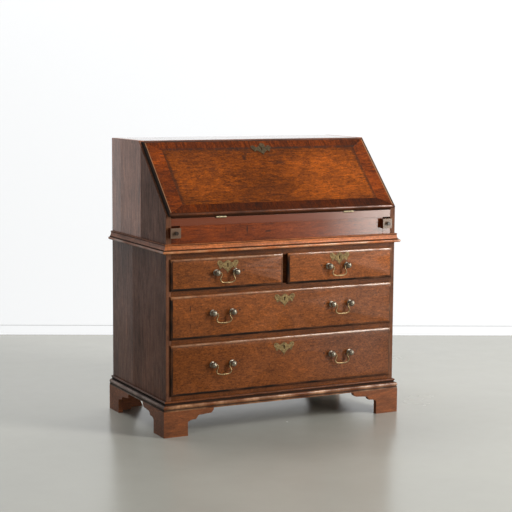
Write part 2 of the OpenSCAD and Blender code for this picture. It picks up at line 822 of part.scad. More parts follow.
module drawer_lock(d, key) {
    low = d[3] - lock_h - 1;
    color(old_brass) placed() {
        translate([key[0], -lip_proud - 0.05, key[1]]) rotate([90, 0, 0])
            linear_extrude(plate_t) plate_2d();
        translate([key[0], front_t - 0.1, low]) rotate([90, 0, 0])
            lock_case(lock_w, lock_h - 1, key[1] - low);
    }
}

// A round bend of the bail in the upright plane
module bend(x, z, r, from, to) {
    translate([x, 0, z]) rotate([90, 0, 0]) rotate([0, 0, from])
        rotate_extrude(angle = to - from) translate([r, 0]) circle(r = bail_r);
}

// A small bead that joins two stretches of the rod, turned so that its seam faces backwards
module bead(x, z) {
    translate([x, 0, z]) rotate([0, 0, 90]) sphere(r = bail_r + 0.15);
}

// One side of a swan-neck bail, and the bottom bar, about the pivot line
module bail_half() {
    half = post_spacing / 2;
    top_r = 4.5;
    low_r = 11;
    lean = 20;
    neck = half - head_r - 1.2;
    arm_x = neck - top_r * cos(lean);
    arm_z = -top_r - top_r * sin(lean);
    end_x = arm_x + bail_arm * sin(lean);
    end_z = arm_z - bail_arm * cos(lean);
    rod_x(neck, half + bail_hold, 0, 0, bail_r);
    bend(neck, -top_r, top_r, 90, 180 + lean);
    translate([arm_x, 0, arm_z]) rotate([0, 180 - lean, 0]) cylinder(r = bail_r, h = bail_arm);
    bend(end_x - low_r * cos(lean), end_z - low_r * sin(lean), low_r, -90, lean);
    bottom_x = end_x - low_r * cos(lean);
    bottom_z = end_z - low_r * sin(lean) - low_r;
    rod_x(-bottom_x, bottom_x, 0, bottom_z, bail_r);
    bead(neck, 0);
    bead(arm_x, arm_z);
    bead(end_x, end_z);
    bead(bottom_x, bottom_z);
}

module bail(h) {
    color(old_brass) placed() translate([h[0], post_y, h[1]]) {
        bail_half();
        mirror([1, 0, 0]) bail_half();
    }
}

// ---------- gallery ----------

module gallery_board(x0, x1, z0, z1) {
    board(x0, x1, gallery_y, gallery_back, z0, z1);
}

module gallery_frame() {
    t = gallery_t;
    w = gallery_half_w;
    color(oak_inside) placed() difference() {
        union() {
            gallery_board(-w, w, gallery_z, gallery_z + t);
            gallery_board(-w, w, gallery_top - t, gallery_top);
            gallery_board(-cupboard_w / 2, cupboard_w / 2, cupboard_top, cupboard_top + t);
            for (side = [0, 1]) mirror([side, 0, 0]) {
                gallery_board(w - t, w, gallery_z + t, gallery_top - t);
                gallery_board(bay_x - t, bay_x, gallery_z + t, gallery_top - t);
                gallery_board(bay_x, w - t, shelf_z, shelf_z + t);
                gallery_board(bay_x + small_w, bay_x + small_w + t, gallery_z + t, shelf_z);
                for (i = [1, 2])
                    gallery_board(bay_x + i * (hole_w + t) - t, bay_x + i * (hole_w + t),
                        shelf_z + t, gallery_top - t);
            }
        }
        rod_z(door_pivot_x, door_pivot_y, gallery_z - 1, gallery_z + t + 1, door_pin_r + 0.06);
        rod_z(door_pivot_x, door_pivot_y, cupboard_top - 1, cupboard_top + t + 1, door_pin_r + 0.06);
    }
}

// A shaped arch at the head of an opening
module valance(x0, w) {
    drop = 22;
    translate([x0 + seam, gallery_y + 5, gallery_top - gallery_t - seam / 2]) rotate([90, 0, 0])
        linear_extrude(4.5) difference() {
            translate([0, -drop]) square([w - 2 * seam, drop]);
            translate([w / 2, -drop - 6]) circle(r = w * 0.17);
            for (k = [-1, 1]) translate([w / 2 + k * w * 0.32, -drop - 2]) circle(r = w * 0.115);
        }
}

module pigeonhole_valances() {
    color(oak_inside) placed() {
        for (side = [0, 1]) mirror([side, 0, 0]) for (i = [0:2])
            valance(bay_x + i * (hole_w + gallery_t), hole_w);
        valance(-cupboard_w / 2, cupboard_w);
    }
}

// A small turned knob on a front that faces -y
module small_knob(x, y, z) {
    rod_y(x, y - 4, y + 3, z, 2.5);
    translate([x, y - 7, z]) sphere(r = 5);
}

module gallery_drawer(x0) {
    t = 6;
    fit = 0.8;
    x1 = x0 + small_w;
    z0 = gallery_z + gallery_t;
    back = gallery_back - 5;
    color(oak_inside) placed() {
        difference() {
            translate([x0 + fit, gallery_y, z0 + fit])
                cube([small_w - 2 * fit, 10, small_drawer_h - 2 * fit]);
            rod_y(x0 + small_w / 2, gallery_y - 1, gallery_y + 11, z0 + small_drawer_h / 2, 2.6);
        }
        board(x0 + fit, x0 + fit + t, gallery_y + 10, back, z0 + fit, z0 + small_drawer_h - 3);
        board(x1 - fit - t, x1 - fit, gallery_y + 10, back, z0 + fit, z0 + small_drawer_h - 3);
        board(x0 + fit + t, x1 - fit - t, back - t, back, z0 + fit, z0 + small_drawer_h - 6);
        board(x0 + fit + t, x1 - fit - t, gallery_y + 10, back - t, z0 + fit, z0 + fit + 5);
        small_knob(x0 + small_w / 2, gallery_y, z0 + small_drawer_h / 2);
    }
}

module prospect_door() {
    z0 = gallery_z + gallery_t + 0.6;
    z1 = cupboard_top - 0.6;
    w = cupboard_w / 2 - 1;
    r = door_t / 2;
    color(oak_fall) placed() {
        difference() {
            union() {
                translate([door_pivot_x, gallery_y + 0.4, z0])
                    cube([w - door_pivot_x, door_t - 0.8, z1 - z0]);
                rod_z(door_pivot_x, door_pivot_y, z0, z1, r - 0.4);
                rod_z(door_pivot_x, door_pivot_y, z0 - 6, z1 + 6, door_pin_r);
            }
            translate([-w + 26, gallery_y - 1, z0 + 20]) cube([2 * w - 52, 4, z1 - z0 - 40]);
            rod_y(w - 12, gallery_y - 1, gallery_y + 5, (z0 + z1) / 2, 2.6);
        }
        small_knob(w - 12, gallery_y + 0.4, (z0 + z1) / 2);
    }
}

// ---------- what each node draws ----------

chest_side(0);  // chest_side_left
chest_side(1);  // chest_side_right
desk_side(0);  // desk_side_left
desk_side(1);  // desk_side_right
chest_bottom();
drawer_rails();
drawer_runners();
chest_top_board();
chest_back_boards();
desk_back_boards();
desk_top_board();
writing_bed();
well_walls();
loper_rail();
loper_housings();
waist_moulding();
base_moulding();
front_foot();  // foot_front_left
mirror([1, 0, 0]) front_foot();  // foot_front_right
rear_foot();  // foot_rear_left
mirror([1, 0, 0]) rear_foot();  // foot_rear_right
gallery_frame();
pigeonhole_valances();
fall_hinge_bed_leaves();
fall_hinge_pins();
fall_board();
fall_crossbanding();
fall_hinge_fall_leaves();
fall_escutcheon();
fall_lock();
loper(0);  // loper_left
loper(1);  // loper_right
drawer_front(short_left, [short_left_handle], short_left_key);  // short_left_front
drawer_front(short_right, [short_right_handle], short_right_key);  // short_right_front
drawer_front(upper_long, [upper_left_handle, upper_right_handle], upper_key);  // upper_front
drawer_front(lower_long, [lower_left_handle, lower_right_handle], lower_key);  // lower_front
drawer_box(short_left);  // short_left_box
drawer_box(short_right);  // short_right_box
drawer_box(upper_long);  // upper_box
drawer_box(lower_long);  // lower_box
handle_posts([short_left_handle]);  // short_left_posts
handle_posts([short_right_handle]);  // short_right_posts
handle_posts([upper_left_handle, upper_right_handle]);  // upper_posts
handle_posts([lower_left_handle, lower_right_handle]);  // lower_posts
drawer_lock(short_left, short_left_key);  // short_left_lock
drawer_lock(short_right, short_right_key);  // short_right_lock
drawer_lock(upper_long, upper_key);  // upper_lock
drawer_lock(lower_long, lower_key);  // lower_lock
bail(short_left_handle);  // short_left_bail
bail(short_right_handle);  // short_right_bail
bail(upper_left_handle);  // upper_left_bail
bail(upper_right_handle);  // upper_right_bail
bail(lower_left_handle);  // lower_left_bail
bail(lower_right_handle);  // lower_right_bail
well_slide();
gallery_drawer(-bay_x - side_bay_w);  // gallery_drawer_1
gallery_drawer(-bay_x - small_w);  // gallery_drawer_2
gallery_drawer(bay_x);  // gallery_drawer_3
gallery_drawer(bay_x + small_w + gallery_t);  // gallery_drawer_4
prospect_door();
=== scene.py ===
import json
import math

import bmesh
import bpy
from mathutils import Matrix, Vector, noise


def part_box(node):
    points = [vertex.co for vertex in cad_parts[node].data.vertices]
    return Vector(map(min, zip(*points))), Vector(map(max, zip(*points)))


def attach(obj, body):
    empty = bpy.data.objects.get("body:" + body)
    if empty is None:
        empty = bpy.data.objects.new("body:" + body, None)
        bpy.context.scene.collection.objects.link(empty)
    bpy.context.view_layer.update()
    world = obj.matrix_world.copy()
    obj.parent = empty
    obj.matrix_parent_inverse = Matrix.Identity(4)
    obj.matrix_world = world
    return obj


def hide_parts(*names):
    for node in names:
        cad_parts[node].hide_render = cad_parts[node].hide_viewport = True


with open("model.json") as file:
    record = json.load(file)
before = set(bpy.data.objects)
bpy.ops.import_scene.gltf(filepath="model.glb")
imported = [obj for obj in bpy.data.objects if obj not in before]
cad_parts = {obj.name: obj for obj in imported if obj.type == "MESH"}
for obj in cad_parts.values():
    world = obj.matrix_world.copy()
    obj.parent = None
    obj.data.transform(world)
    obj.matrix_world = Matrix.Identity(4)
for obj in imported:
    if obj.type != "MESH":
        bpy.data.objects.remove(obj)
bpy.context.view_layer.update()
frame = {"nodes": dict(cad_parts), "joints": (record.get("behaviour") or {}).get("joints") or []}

# ---------- places and sizes that the pieces share, in metres ----------

MM = 0.001
JOINTS = {joint["name"]: joint for joint in frame["joints"]}
HINGE = Vector(JOINTS["fall_hinge"]["pos_m"])
FRONT_Y = HINGE.y
LIP_Y = FRONT_Y - 8 * MM  # the face of the drawer fronts
SIDE_LOW, SIDE_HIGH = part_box("chest_side_left")
HALF_W = -SIDE_LOW.x
BACK_Y = SIDE_HIGH.y
SIDES = ("left", "right")
DRAWERS = ("short_left", "short_right", "upper", "lower")
BAILS = ("short_left", "short_right", "upper_left", "upper_right", "lower_left", "lower_right")
# Height of a keyhole above its plate's lowest point, and half the width and height of its slot
PLATE_POINT = 28.5 * MM
KEY_SLOT = 3.5 * MM, 8 * MM
# How far a handle's posts are from its middle
POST_REACH = 38 * MM
# Room round what is let into the wood, the distance between points along an edge, and rounding error
ROOM = 0.3 * MM
STRIDE = 12 * MM
TINY = 0.01 * MM
FALL_ANGLE = math.radians(45)
UP_SLOPE = Vector((0, math.cos(FALL_ANGLE), math.sin(FALL_ANGLE)))
OFF_SLOPE = Vector((0, -math.sin(FALL_ANGLE), math.cos(FALL_ANGLE)))


def lerp(a, b, t):
    return a + (b - a) * t


def wobble(point, size, seed=0.0):
    """Smooth noise from about -0.6 to 0.6 that changes over the given size."""
    return noise.noise(Vector(point) / size + Vector((seed, 7.3 * seed, 3.1)))


def add_object(name, data):
    """A new object in the scene."""
    made = bpy.data.objects.new(name, data)
    bpy.context.scene.collection.objects.link(made)
    return made


def cad_points(node):
    return [vertex.co for vertex in frame["nodes"][node].data.vertices]


# ---------- shader building ----------


class Finish:
    """A material's nodes, with short calls for what the finishes share."""

    def __init__(self, name):
        self.material = bpy.data.materials.new(name)
        self.material.use_nodes = True
        self.tree = self.material.node_tree
        self.tree.nodes.clear()
        self.output = self.node("ShaderNodeOutputMaterial")
        self.surface = self.node("ShaderNodeBsdfPrincipled")
        self.tree.links.new(self.surface.outputs[0], self.output.inputs["Surface"])

    def node(self, kind, **settings):
        made = self.tree.nodes.new(kind)
        for key, value in settings.items():
            setattr(made, key, value)
        return made

    def plug(self, socket, value):
        if isinstance(value, bpy.types.NodeSocket):
            self.tree.links.new(value, socket)
        elif value is not None:
            socket.default_value = value

    def math(self, operation, a, b=None, clamp=False):
        made = self.node("ShaderNodeMath", operation=operation, use_clamp=clamp)
        self.plug(made.inputs[0], a)
        self.plug(made.inputs[1], b)
        return made.outputs[0]

    def times(self, a, b):
        return self.math("MULTIPLY", a, b)

    def plus(self, a, b, clamp=False):
        return self.math("ADD", a, b, clamp)

    def vector(self, operation, a, b=None):
        made = self.node("ShaderNodeVectorMath", operation=operation)
        self.plug(made.inputs[0], a)
        self.plug(made.inputs[1], b)
        return made.outputs["Value" if operation == "LENGTH" else "Vector"]

    def coordinates(self):
        return self.node("ShaderNodeTexCoord").outputs["Object"]

    def part(self, place, axis):
        """One of a place's three coordinates."""
        made = self.node("ShaderNodeSeparateXYZ")
        self.plug(made.inputs[0], place)
        return made.outputs[axis.upper()]

    def noise(self, place, scale=1.0, detail=2.0, roughness=0.5):
        made = self.node("ShaderNodeTexNoise")
        self.plug(made.inputs["Vector"], place)
        made.inputs["Scale"].default_value = scale
        made.inputs["Detail"].default_value = detail
        made.inputs["Roughness"].default_value = roughness
        return made.outputs["Fac"]

    def spread(self, value, low, high, to_low=0.0, to_high=1.0):
        """The value's range low to high, stretched to another range and cut off at its ends."""
        made = self.node("ShaderNodeMapRange", clamp=True)
        for key, number in (("From Min", low), ("From Max", high), ("To Min", to_low), ("To Max", to_high)):
            made.inputs[key].default_value = number
        self.plug(made.inputs["Value"], value)
        return made.outputs["Result"]

    def mix(self, factor, a, b, blend="MIX"):
        made = self.node("ShaderNodeMix", data_type="RGBA", blend_type=blend)
        self.plug(made.inputs["Factor"], factor)
        self.plug(made.inputs["A"], a if isinstance(a, bpy.types.NodeSocket) else (*a, 1.0))
        self.plug(made.inputs["B"], b if isinstance(b, bpy.types.NodeSocket) else (*b, 1.0))
        return made.outputs["Result"]

    def attribute(self, name):
        return self.node("ShaderNodeAttribute", attribute_name=name).outputs["Fac"]

    def bump(self, height, distance, strength=1.0, normal=None):
        made = self.node("ShaderNodeBump")
        made.inputs["Strength"].default_value = strength
        made.inputs["Distance"].default_value = distance
        self.plug(made.inputs["Height"], height)
        self.plug(made.inputs["Normal"], normal)
        return made.outputs["Normal"]

    def set(self, **values):
        for key, value in values.items():
            self.plug(self.surface.inputs[key.replace("_", " ")], value)


def tone(colour, factor):
    return tuple(channel * factor for channel in colour)


# ---------- wood ----------

TURNS = {
    "x": (0, 0, 0),
    "y": (0, 0, math.radians(-90)),
    "z": (0, math.radians(90), 0),
    "slope": (-FALL_ANGLE, 0, math.radians(-90)),
}


def along_grain(finish, grain):
    """Object coordinates turned so that the grain runs along x, with each board shifted to its own wood."""
    place = finish.coordinates()
    turned = finish.node("ShaderNodeMapping")
    turned.inputs["Rotation"].default_value = TURNS[grain]
    finish.plug(turned.inputs["Vector"], place)
    island = finish.node("ShaderNodeNewGeometry").outputs["Random Per Island"]
    shift = finish.node("ShaderNodeCombineXYZ")
    for axis, distance in zip("XYZ", (3.7, 1.3, 2.1)):
        finish.plug(shift.inputs[axis], finish.times(island, distance))
    return finish.vector("ADD", turned.outputs["Vector"], shift.outputs["Vector"]), island


def stain_mask(finish, place, centre, size, uneven=0.5):
    """How near a point is to a mark: 1 in its middle and 0 outside it, with an uneven edge."""
    offset = finish.vector("SUBTRACT", place, centre)
    distance = finish.vector("LENGTH", finish.vector("DIVIDE", offset, size))
    ragged = finish.times(finish.noise(place, 90.0, 3.0), uneven)
    return finish.spread(finish.plus(distance, ragged), 1.0 + uneven * 0.5, 0.35 + uneven * 0.5)


def edge_mask(finish, place, axis, at, width):
    """How near a point is to a plane across one axis."""
    away = finish.math("ABSOLUTE", finish.math("SUBTRACT", finish.part(place, axis), at))
    return finish.spread(away, width, width * 0.6)


def curved_fibres(finish, place):
    """Coordinates along the grain, bent so that the fibres are not straight."""
    uneven = finish.noise(finish.vector("MULTIPLY", place, (1.6, 7.0, 7.0)), 1.0, 2.0)
    bend = finish.math("SUBTRACT", uneven, 0.5)
    wander = finish.node("ShaderNodeCombineXYZ")
    finish.plug(wander.inputs["Y"], finish.times(bend, 0.05))
    finish.plug(wander.inputs["Z"], finish.times(bend, 0.03))
    return finish.vector("ADD", place, wander.outputs["Vector"])


def oak(name, colour, grain="x", *, run=14.0, across=130.0, contrast=1.0, speckle=1.0, figure=0.5,
        patina=0.5, gloss=0.42, shine=0.25, coat=0.05, wax=0.25, worn_and_highlight_colour=None, painted=False,
        stains=(), edges=(), lights=(), planks=(), polished=None, polished_to=1.0):
    """Old oak: fibres, open pores, growth figure, flecks, uneven patina, wear and grime, with painted
    highlights and painted shade.

    run and across are how many streaks there are to a metre along and across the grain. stains are
    dark marks, both real marks and painted shade, as (centre, size, strength), and lights are areas whose
    brightness is changed, mostly painted light and shade, as (centre, size, factor). edges are bands as
    (axis, place, width, strength, colour). planks are (from y, to y, brightness, polish) for the boards of
    a glued-up side. polished is (from x, to x, polish): the polish grows from one to the other, on what is
    in front of y = polished_to."""
    finish = Finish(name)
    place, island = along_grain(finish, grain)
    raw = finish.coordinates()
    wavy = curved_fibres(finish, place)

    def streaks(along, across, detail, roughness):
        return finish.noise(finish.vector("MULTIPLY", wavy, (along, across, across)), 1.0, detail, roughness)

    fibre = streaks(run, across, 4.0, 0.65)
    fine = streaks(run * 4.0, 520.0, 3.0, 0.6)
    dots = streaks(130.0, 260.0, 3.0, 0.7)
    pores = finish.spread(streaks(75.0, 900.0, 2.0, 0.5), 0.58, 0.72)
    field = streaks(run * 0.09, 13.0, 2.0, 0.45)
    rings = finish.math("SINE", finish.times(field, 80.0))
    patches = finish.noise(raw, 5.0, 4.0, 0.62)
    broad = finish.noise(finish.vector("MULTIPLY", place, (2.2, 8.0, 8.0)), 1.0, 3.0, 0.55)

    grainy = finish.plus(finish.times(fibre, 0.7), finish.times(fine, 0.3))
    factors = (
        finish.spread(grainy, 0.34, 0.66, 1.0 - 0.42 * contrast, 1.0 + 0.42 * contrast),
        finish.spread(dots, 0.30, 0.70, 1.0 - 0.38 * speckle, 1.0 + 0.38 * speckle),
        finish.spread(rings, -1.0, 1.0, 1.0 - 0.16 * figure, 1.0 + 0.16 * figure),
        finish.spread(patches, 0.32, 0.68, 1.0 - 0.34 * patina, 1.0 + 0.34 * patina),
        finish.spread(broad, 0.30, 0.70, 1.0 - 0.28 * patina, 1.0 + 0.28 * patina),
        finish.spread(island, 0.0, 1.0, 0.95, 1.05),
        finish.spread(pores, 0.0, 1.0, 1.0, 0.66),
    )
    shade = factors[0]
    for factor in factors[1:]:
        shade = finish.times(shade, factor)
    for at, size, amount in lights:
        lift = stain_mask(finish, raw, at, size, 0.15)
        shade = finish.times(shade, finish.spread(lift, 0.0, 1.0, 1.0, amount))
    roughness = finish.spread(grainy, 0.34, 0.66, gloss + 0.08, gloss - 0.05)
    roughness = finish.plus(roughness, finish.spread(patches, 0.3, 0.7, 0.06, -0.04))
    for start, end, bright, polish in planks:
        inside = edge_mask(finish, raw, "y", (start + end) / 2, (end - start) / 2 + 0.2 * MM)
        inside = finish.math("GREATER_THAN", inside, 0.02)
        shade = finish.times(shade, finish.spread(inside, 0.0, 1.0, 1.0, bright))
        coat = finish.plus(coat, finish.times(inside, polish))
    if polished:
        start, end, polish = polished
        waver = finish.times(finish.noise(raw, 12.0, 2.0), 0.2)
        rubbed = finish.spread(finish.plus(finish.part(raw, "x"), waver), start, end, 0.0, polish)
        in_front = finish.math("LESS_THAN", finish.part(raw, "y"), polished_to)
        coat = finish.plus(finish.times(rubbed, in_front), coat)
    level = finish.node("ShaderNodeCombineColor")
    for channel in level.inputs:
        finish.plug(channel, shade)
    red, green, blue = colour
    warm = finish.mix(broad, (red, green * 1.04, blue * 1.1), (red, green * 0.95, blue * 0.85))
    colour_out = finish.mix(1.0, warm, level.outputs["Color"], "MULTIPLY")

    for at, size, amount in stains:
        mask = finish.times(stain_mask(finish, raw, at, size), amount)
        colour_out = finish.mix(mask, colour_out, DIRT_AND_SHADE)
    patchy = finish.spread(finish.noise(raw, 42.0, 4.0, 0.65), 0.36, 0.62)
    for axis, at, width, amount, band_colour in edges:
        mask = finish.times(edge_mask(finish, raw, axis, at, width), amount)
        if amount < 1.0:
            mask = finish.times(mask, patchy)
        colour_out = finish.mix(mask, colour_out, band_colour)
    if painted:
        # The wear attribute carries rubbed wood and a painted highlight; the grime attribute carries dirt and
        # painted shade in steps, gaps and quirks.
        rubbed_and_highlit = finish.attribute("wear_and_highlight")
        wear_and_highlight = finish.times(rubbed_and_highlit, finish.spread(patchy, 0.0, 1.0, 0.35, 1.0))
        colour_out = finish.mix(wear_and_highlight, colour_out, worn_and_highlight_colour or (red * 1.7, green * 1.6, blue * 1.6))
        grime_and_shade = finish.attribute("grime_and_shade")
        coat = finish.plus(finish.times(rubbed_and_highlit, 0.9), coat, clamp=True)
        coat = finish.times(coat, finish.math("SUBTRACT", 1.0, grime_and_shade))
        roughness = finish.plus(roughness, finish.times(grime_and_shade, 0.5), clamp=True)
        colour_out = finish.mix(grime_and_shade, colour_out, DIRT_AND_SHADE)

    relief = finish.math("SUBTRACT", grainy, finish.times(pores, 0.55))
    uneven = finish.bump(finish.noise(place, 9.0, 2.0), 0.0022, 0.5)
    finish.set(Base_Color=colour_out, Roughness=roughness, Coat_Weight=coat, Coat_Roughness=wax,
               Normal=finish.bump(relief, 0.00035, 0.6, uneven))
    finish.surface.inputs["Specular IOR Level"].default_value = shine
    return finish.material


# ---------- metal ----------


def brass(name, colour, roughness, tarnish, dull=(0.10, 0.085, 0.05), dark_from=None):
    """Old brass: dull film that the raised parts have lost, with spots and fine scratches.

    What lies behind y = dark_from is blackened, as a lock's case is behind its plate."""
    finish = Finish(name)
    raw = finish.coordinates()
    film = finish.spread(finish.noise(raw, 95.0, 5.0, 0.65), 0.34, 0.66)
    spots = finish.spread(finish.noise(raw, 480.0, 3.0, 0.6), 0.56, 0.70)
    scratches = finish.noise(finish.vector("MULTIPLY", raw, (300.0, 300.0, 2600.0)), 1.0, 2.0)
    spotted = finish.plus(film, finish.times(spots, 0.6), clamp=True)
    mask = finish.times(spotted, tarnish)
    face = finish.mix(mask, colour, dull)
    metallic = finish.spread(mask, 0.0, 1.0, 1.0, 0.72)
    if dark_from is not None:
        behind = finish.math("GREATER_THAN", finish.part(raw, "y"), dark_from)
        face = finish.mix(behind, face, DIRT_AND_SHADE)
        metallic = finish.times(metallic, finish.math("SUBTRACT", 1.0, behind))
    finish.set(
        Base_Color=face,
        Metallic=metallic,
        Roughness=finish.spread(mask, 0.0, 1.0, roughness, min(0.8, roughness + 0.28)),
        Normal=finish.bump(finish.plus(scratches, spots), 0.00012, 0.35),
    )
    return finish.material


# ---------- the finishes of this bureau ----------

# Dirt, and the colour of painted shade in steps, gaps and creases
DIRT_AND_SHADE = (0.016, 0.010, 0.007)
SIDE = (0.118, 0.046, 0.025)
DRAWER = (0.240, 0.067, 0.013)
FALL = (0.146, 0.033, 0.003)
BAND = (0.130, 0.025, 0.003)
RAIL = (0.150, 0.028, 0.004)
MOULDING = (0.235, 0.068, 0.018)
INSIDE = (0.290, 0.150, 0.060)
# Rubbed wood, and the colour of painted highlights on worn edges
WORN_AND_HIGHLIGHT = (0.42, 0.22, 0.11)
BACKS = (0.200, 0.125, 0.075)


def side_wood(part, planks):
    """A glued-up side, with its front edge rubbed."""
    return oak(
        f"oak_{part}_sides", SIDE, "z", run=10.0, contrast=1.1, speckle=0.6, figure=0.6, patina=0.7,
        gloss=0.45, shine=0.12, coat=0.0, planks=planks,
        edges=(("y", FRONT_Y, 4 * MM, 0.75, (0.17, 0.065, 0.028)),))


chest_sides = side_wood("chest", ((0.0665, 0.267, 1.15, 0.20),))
# The desk side's back boards are painted lighter, partly their own tone and partly a painted sheen.
desk_sides = side_wood("desk", ((-0.0115, 0.1774, 2.5, 0.50), (0.1776, 0.267, 2.35, 0.75)))
top_board = oak("oak_top_board", tone(SIDE, 1.3), "x", patina=0.6, gloss=0.25, shine=0.5, coat=1.0, wax=0.12)
# Rails darkened as painted shade, since they sit back between the drawer lips; the stain paints the shade in
# the gap between the short drawers.
rails = oak("oak_rails", tone(DRAWER, 0.45), "x", gloss=0.42, shine=0.12, coat=0.06, wax=0.3,
            stains=(((-0.009, FRONT_Y, 0.565), (0.010, 0.03, 0.08), 0.85),))
loper_rail_wood = oak(
    "oak_loper_rail", RAIL, "x", contrast=0.9, speckle=0.8, figure=0.4, patina=0.7, gloss=0.36, shine=0.12,
    coat=0.0, wax=0.15, polished=(-0.05, 0.30, 1.0),
    stains=(
        ((-0.150, FRONT_Y, 0.712), (0.0035, 0.02, 0.020), 0.85),
        ((-0.233, FRONT_Y, 0.716), (0.0030, 0.02, 0.012), 0.7),
        ((-0.068, FRONT_Y, 0.703), (0.016, 0.02, 0.005), 0.7),
        ((-0.060, FRONT_Y, 0.728), (0.030, 0.02, 0.003), 0.5),
    ))


def loper_wood(side, face):
    """A loper, with the worn face of its end block and its dark knob."""
    block_y, knob_y = FRONT_Y - 19 * MM, FRONT_Y - 29 * MM
    return oak(
        f"oak_loper_{side}", tone(RAIL, 0.7), "y", contrast=0.8, gloss=0.42, shine=0.15, wax=0.2,
        polished=(-0.05, 0.30, 0.4),
        edges=(("y", block_y, 4 * MM, 1.0, face), ("y", knob_y, 8 * MM, 1.0, (0.03, 0.018, 0.012))))


inside_x = oak("oak_inside_x", INSIDE, "x", contrast=0.7, figure=0.8, gloss=0.55, coat=0.0)
inside_y = oak("oak_inside_y", INSIDE, "y", contrast=0.7, figure=0.8, gloss=0.55, coat=0.0)
bed_wood = oak("oak_writing_bed", tone(INSIDE, 0.8), "x", contrast=0.8, figure=0.7, gloss=0.38, wax=0.15,
               edges=(("y", FRONT_Y, 4 * MM, 1.0, RAIL),), polished=(-0.05, 0.30, 0.9),
               polished_to=FRONT_Y + 4 * MM)
back_wood = oak("oak_backs", BACKS, "z", figure=0.9, patina=0.8, gloss=0.62, coat=0.0)
under_wood = oak("oak_underside", tone(BACKS, 0.8), "x", patina=0.8, gloss=0.65, coat=0.0)
door_wood = oak("oak_door", tone(FALL, 1.2), "z", contrast=0.8, figure=0.8, gloss=0.4)
lid_wood = oak("oak_well_lid", tone(INSIDE, 0.85), "x", contrast=0.8, figure=0.8, gloss=0.42)
# Painted light on the rear left foot and painted shade on the rear right foot, which stands in deep shade
# under the chest.
feet_wood = oak("oak_feet", tone(MOULDING, 0.72), "x", contrast=0.8, speckle=0.8, patina=0.7, gloss=0.46,
                lights=(((-HALF_W, BACK_Y, 0.06), (0.15, 0.2, 0.2), 1.3),
                        ((0.32, BACK_Y - 0.1, 0.05), (0.135, 0.2, 0.12), 0.2)))
plate_brass = brass("brass_plates", (0.26, 0.18, 0.08), 0.45, 0.8, (0.082, 0.055, 0.025),
                    LIP_Y + 0.2 * MM)
fall_plate_brass = brass("brass_fall_plate", (0.20, 0.14, 0.07), 0.45, 0.85, (0.036, 0.027, 0.017))
handle_brass = brass("brass_handles", (0.44, 0.39, 0.30), 0.28, 0.75, (0.070, 0.056, 0.042))
bail_brass = brass("brass_bails", (0.42, 0.29, 0.14), 0.28, 0.75, (0.060, 0.038, 0.020))
hinge_brass = brass("brass_hinges", (0.46, 0.38, 0.24), 0.42, 0.65)
lock_brass = brass("brass_locks", (0.44, 0.33, 0.16), 0.4, 0.55)

# ---------- CAD nodes that keep their shape ----------


def ease(node, width):
    """Takes the sharpness off a CAD node's edges and gives it a material's smooth highlights."""
    piece = frame["nodes"][node]
    weld = piece.modifiers.new("weld", "WELD")
    weld.merge_threshold = TINY
    bevel = piece.modifiers.new("eased_edges", "BEVEL")
    bevel.width = width
    bevel.segments = 2
    bevel.limit_method = "ANGLE"
    bevel.angle_limit = math.radians(40)
    bevel.use_clamp_overlap = True
    normals = piece.modifiers.new("normals", "WEIGHTED_NORMAL")
    normals.keep_sharp = False


def finish_node(node, material, width):
    piece = frame["nodes"][node]
    piece.data.materials.clear()
    piece.data.materials.append(material)
    ease(node, width)


# Finish, nodes, and how far their edges are eased in millimetres
KEPT_NODES = (
    (chest_sides, tuple(f"chest_side_{side}" for side in SIDES), 1.2),
    (desk_sides, tuple(f"desk_side_{side}" for side in SIDES), 1.2),
    (top_board, ("desk_top_board",), 1.2),
    (rails, ("drawer_rails",), 1),
    (loper_rail_wood, ("loper_rail", "loper_housings"), 0.6),
    (loper_wood("left", (0.150, 0.090, 0.058)), ("loper_left",), 1.2),
    (loper_wood("right", (0.19, 0.12, 0.08)), ("loper_right",), 1.2),
    (inside_y, ("drawer_runners", *(f"{drawer}_box" for drawer in DRAWERS)), 0.8),
    (inside_x, ("gallery_frame", "pigeonhole_valances", "well_walls"), 0.6),
    (inside_x, tuple(f"gallery_drawer_{number}" for number in range(1, 5)), 0.6),
    (bed_wood, ("writing_bed",), 0.8),
    (lid_wood, ("well_slide",), 0.8),
    (door_wood, ("prospect_door",), 0.8),
    (under_wood, ("chest_bottom", "chest_top_board"), 0.8),
    (back_wood, ("chest_back_boards", "desk_back_boards"), 1.2),
    (feet_wood, tuple(f"foot_{end}_{side}" for end in ("front", "rear") for side in SIDES), 1.4),
    (hinge_brass, ("fall_hinge_bed_leaves", "fall_hinge_fall_leaves", "fall_hinge_pins"), 0.3),
    (lock_brass, ("fall_lock",), 0.4),
    (fall_plate_brass, ("fall_escutcheon",), 0.35),
    (plate_brass, tuple(f"{drawer}_lock" for drawer in DRAWERS), 0.35),
)
for material, nodes, width in KEPT_NODES:
    for node in nodes:
        finish_node(node, material, width * MM)

# ---------- mesh building ----------


def solid(name, points, faces, merge=0.0):
    """An object with the given faces, turned outwards; points closer than merge become one."""
    shape = bmesh.new()
    made = [shape.verts.new(point) for point in points]
    for face in faces:
        shape.faces.new([made[i] for i in face])
    if merge:
        bmesh.ops.remove_doubles(shape, verts=shape.verts[:], dist=merge)
    bmesh.ops.recalc_face_normals(shape, faces=shape.faces[:])
    mesh = bpy.data.meshes.new(name)
    shape.to_mesh(mesh)
    shape.free()
    return add_object(name, mesh)


def new_piece(name, points, faces, body, slot, material, crease=32):
    """A mesh piece in the row frame that rides on a body."""
    same_point = 1e-7
    piece = solid(name, points, faces, same_point)
    piece.data.materials.append(material)
    smooth(piece, crease)
    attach(piece, body)
    return piece


def smooth(piece, crease):
    mesh = piece.data
    mesh.polygons.foreach_set("use_smooth", [True] * len(mesh.polygons))
    mesh.set_sharp_from_angle(angle=math.radians(crease))


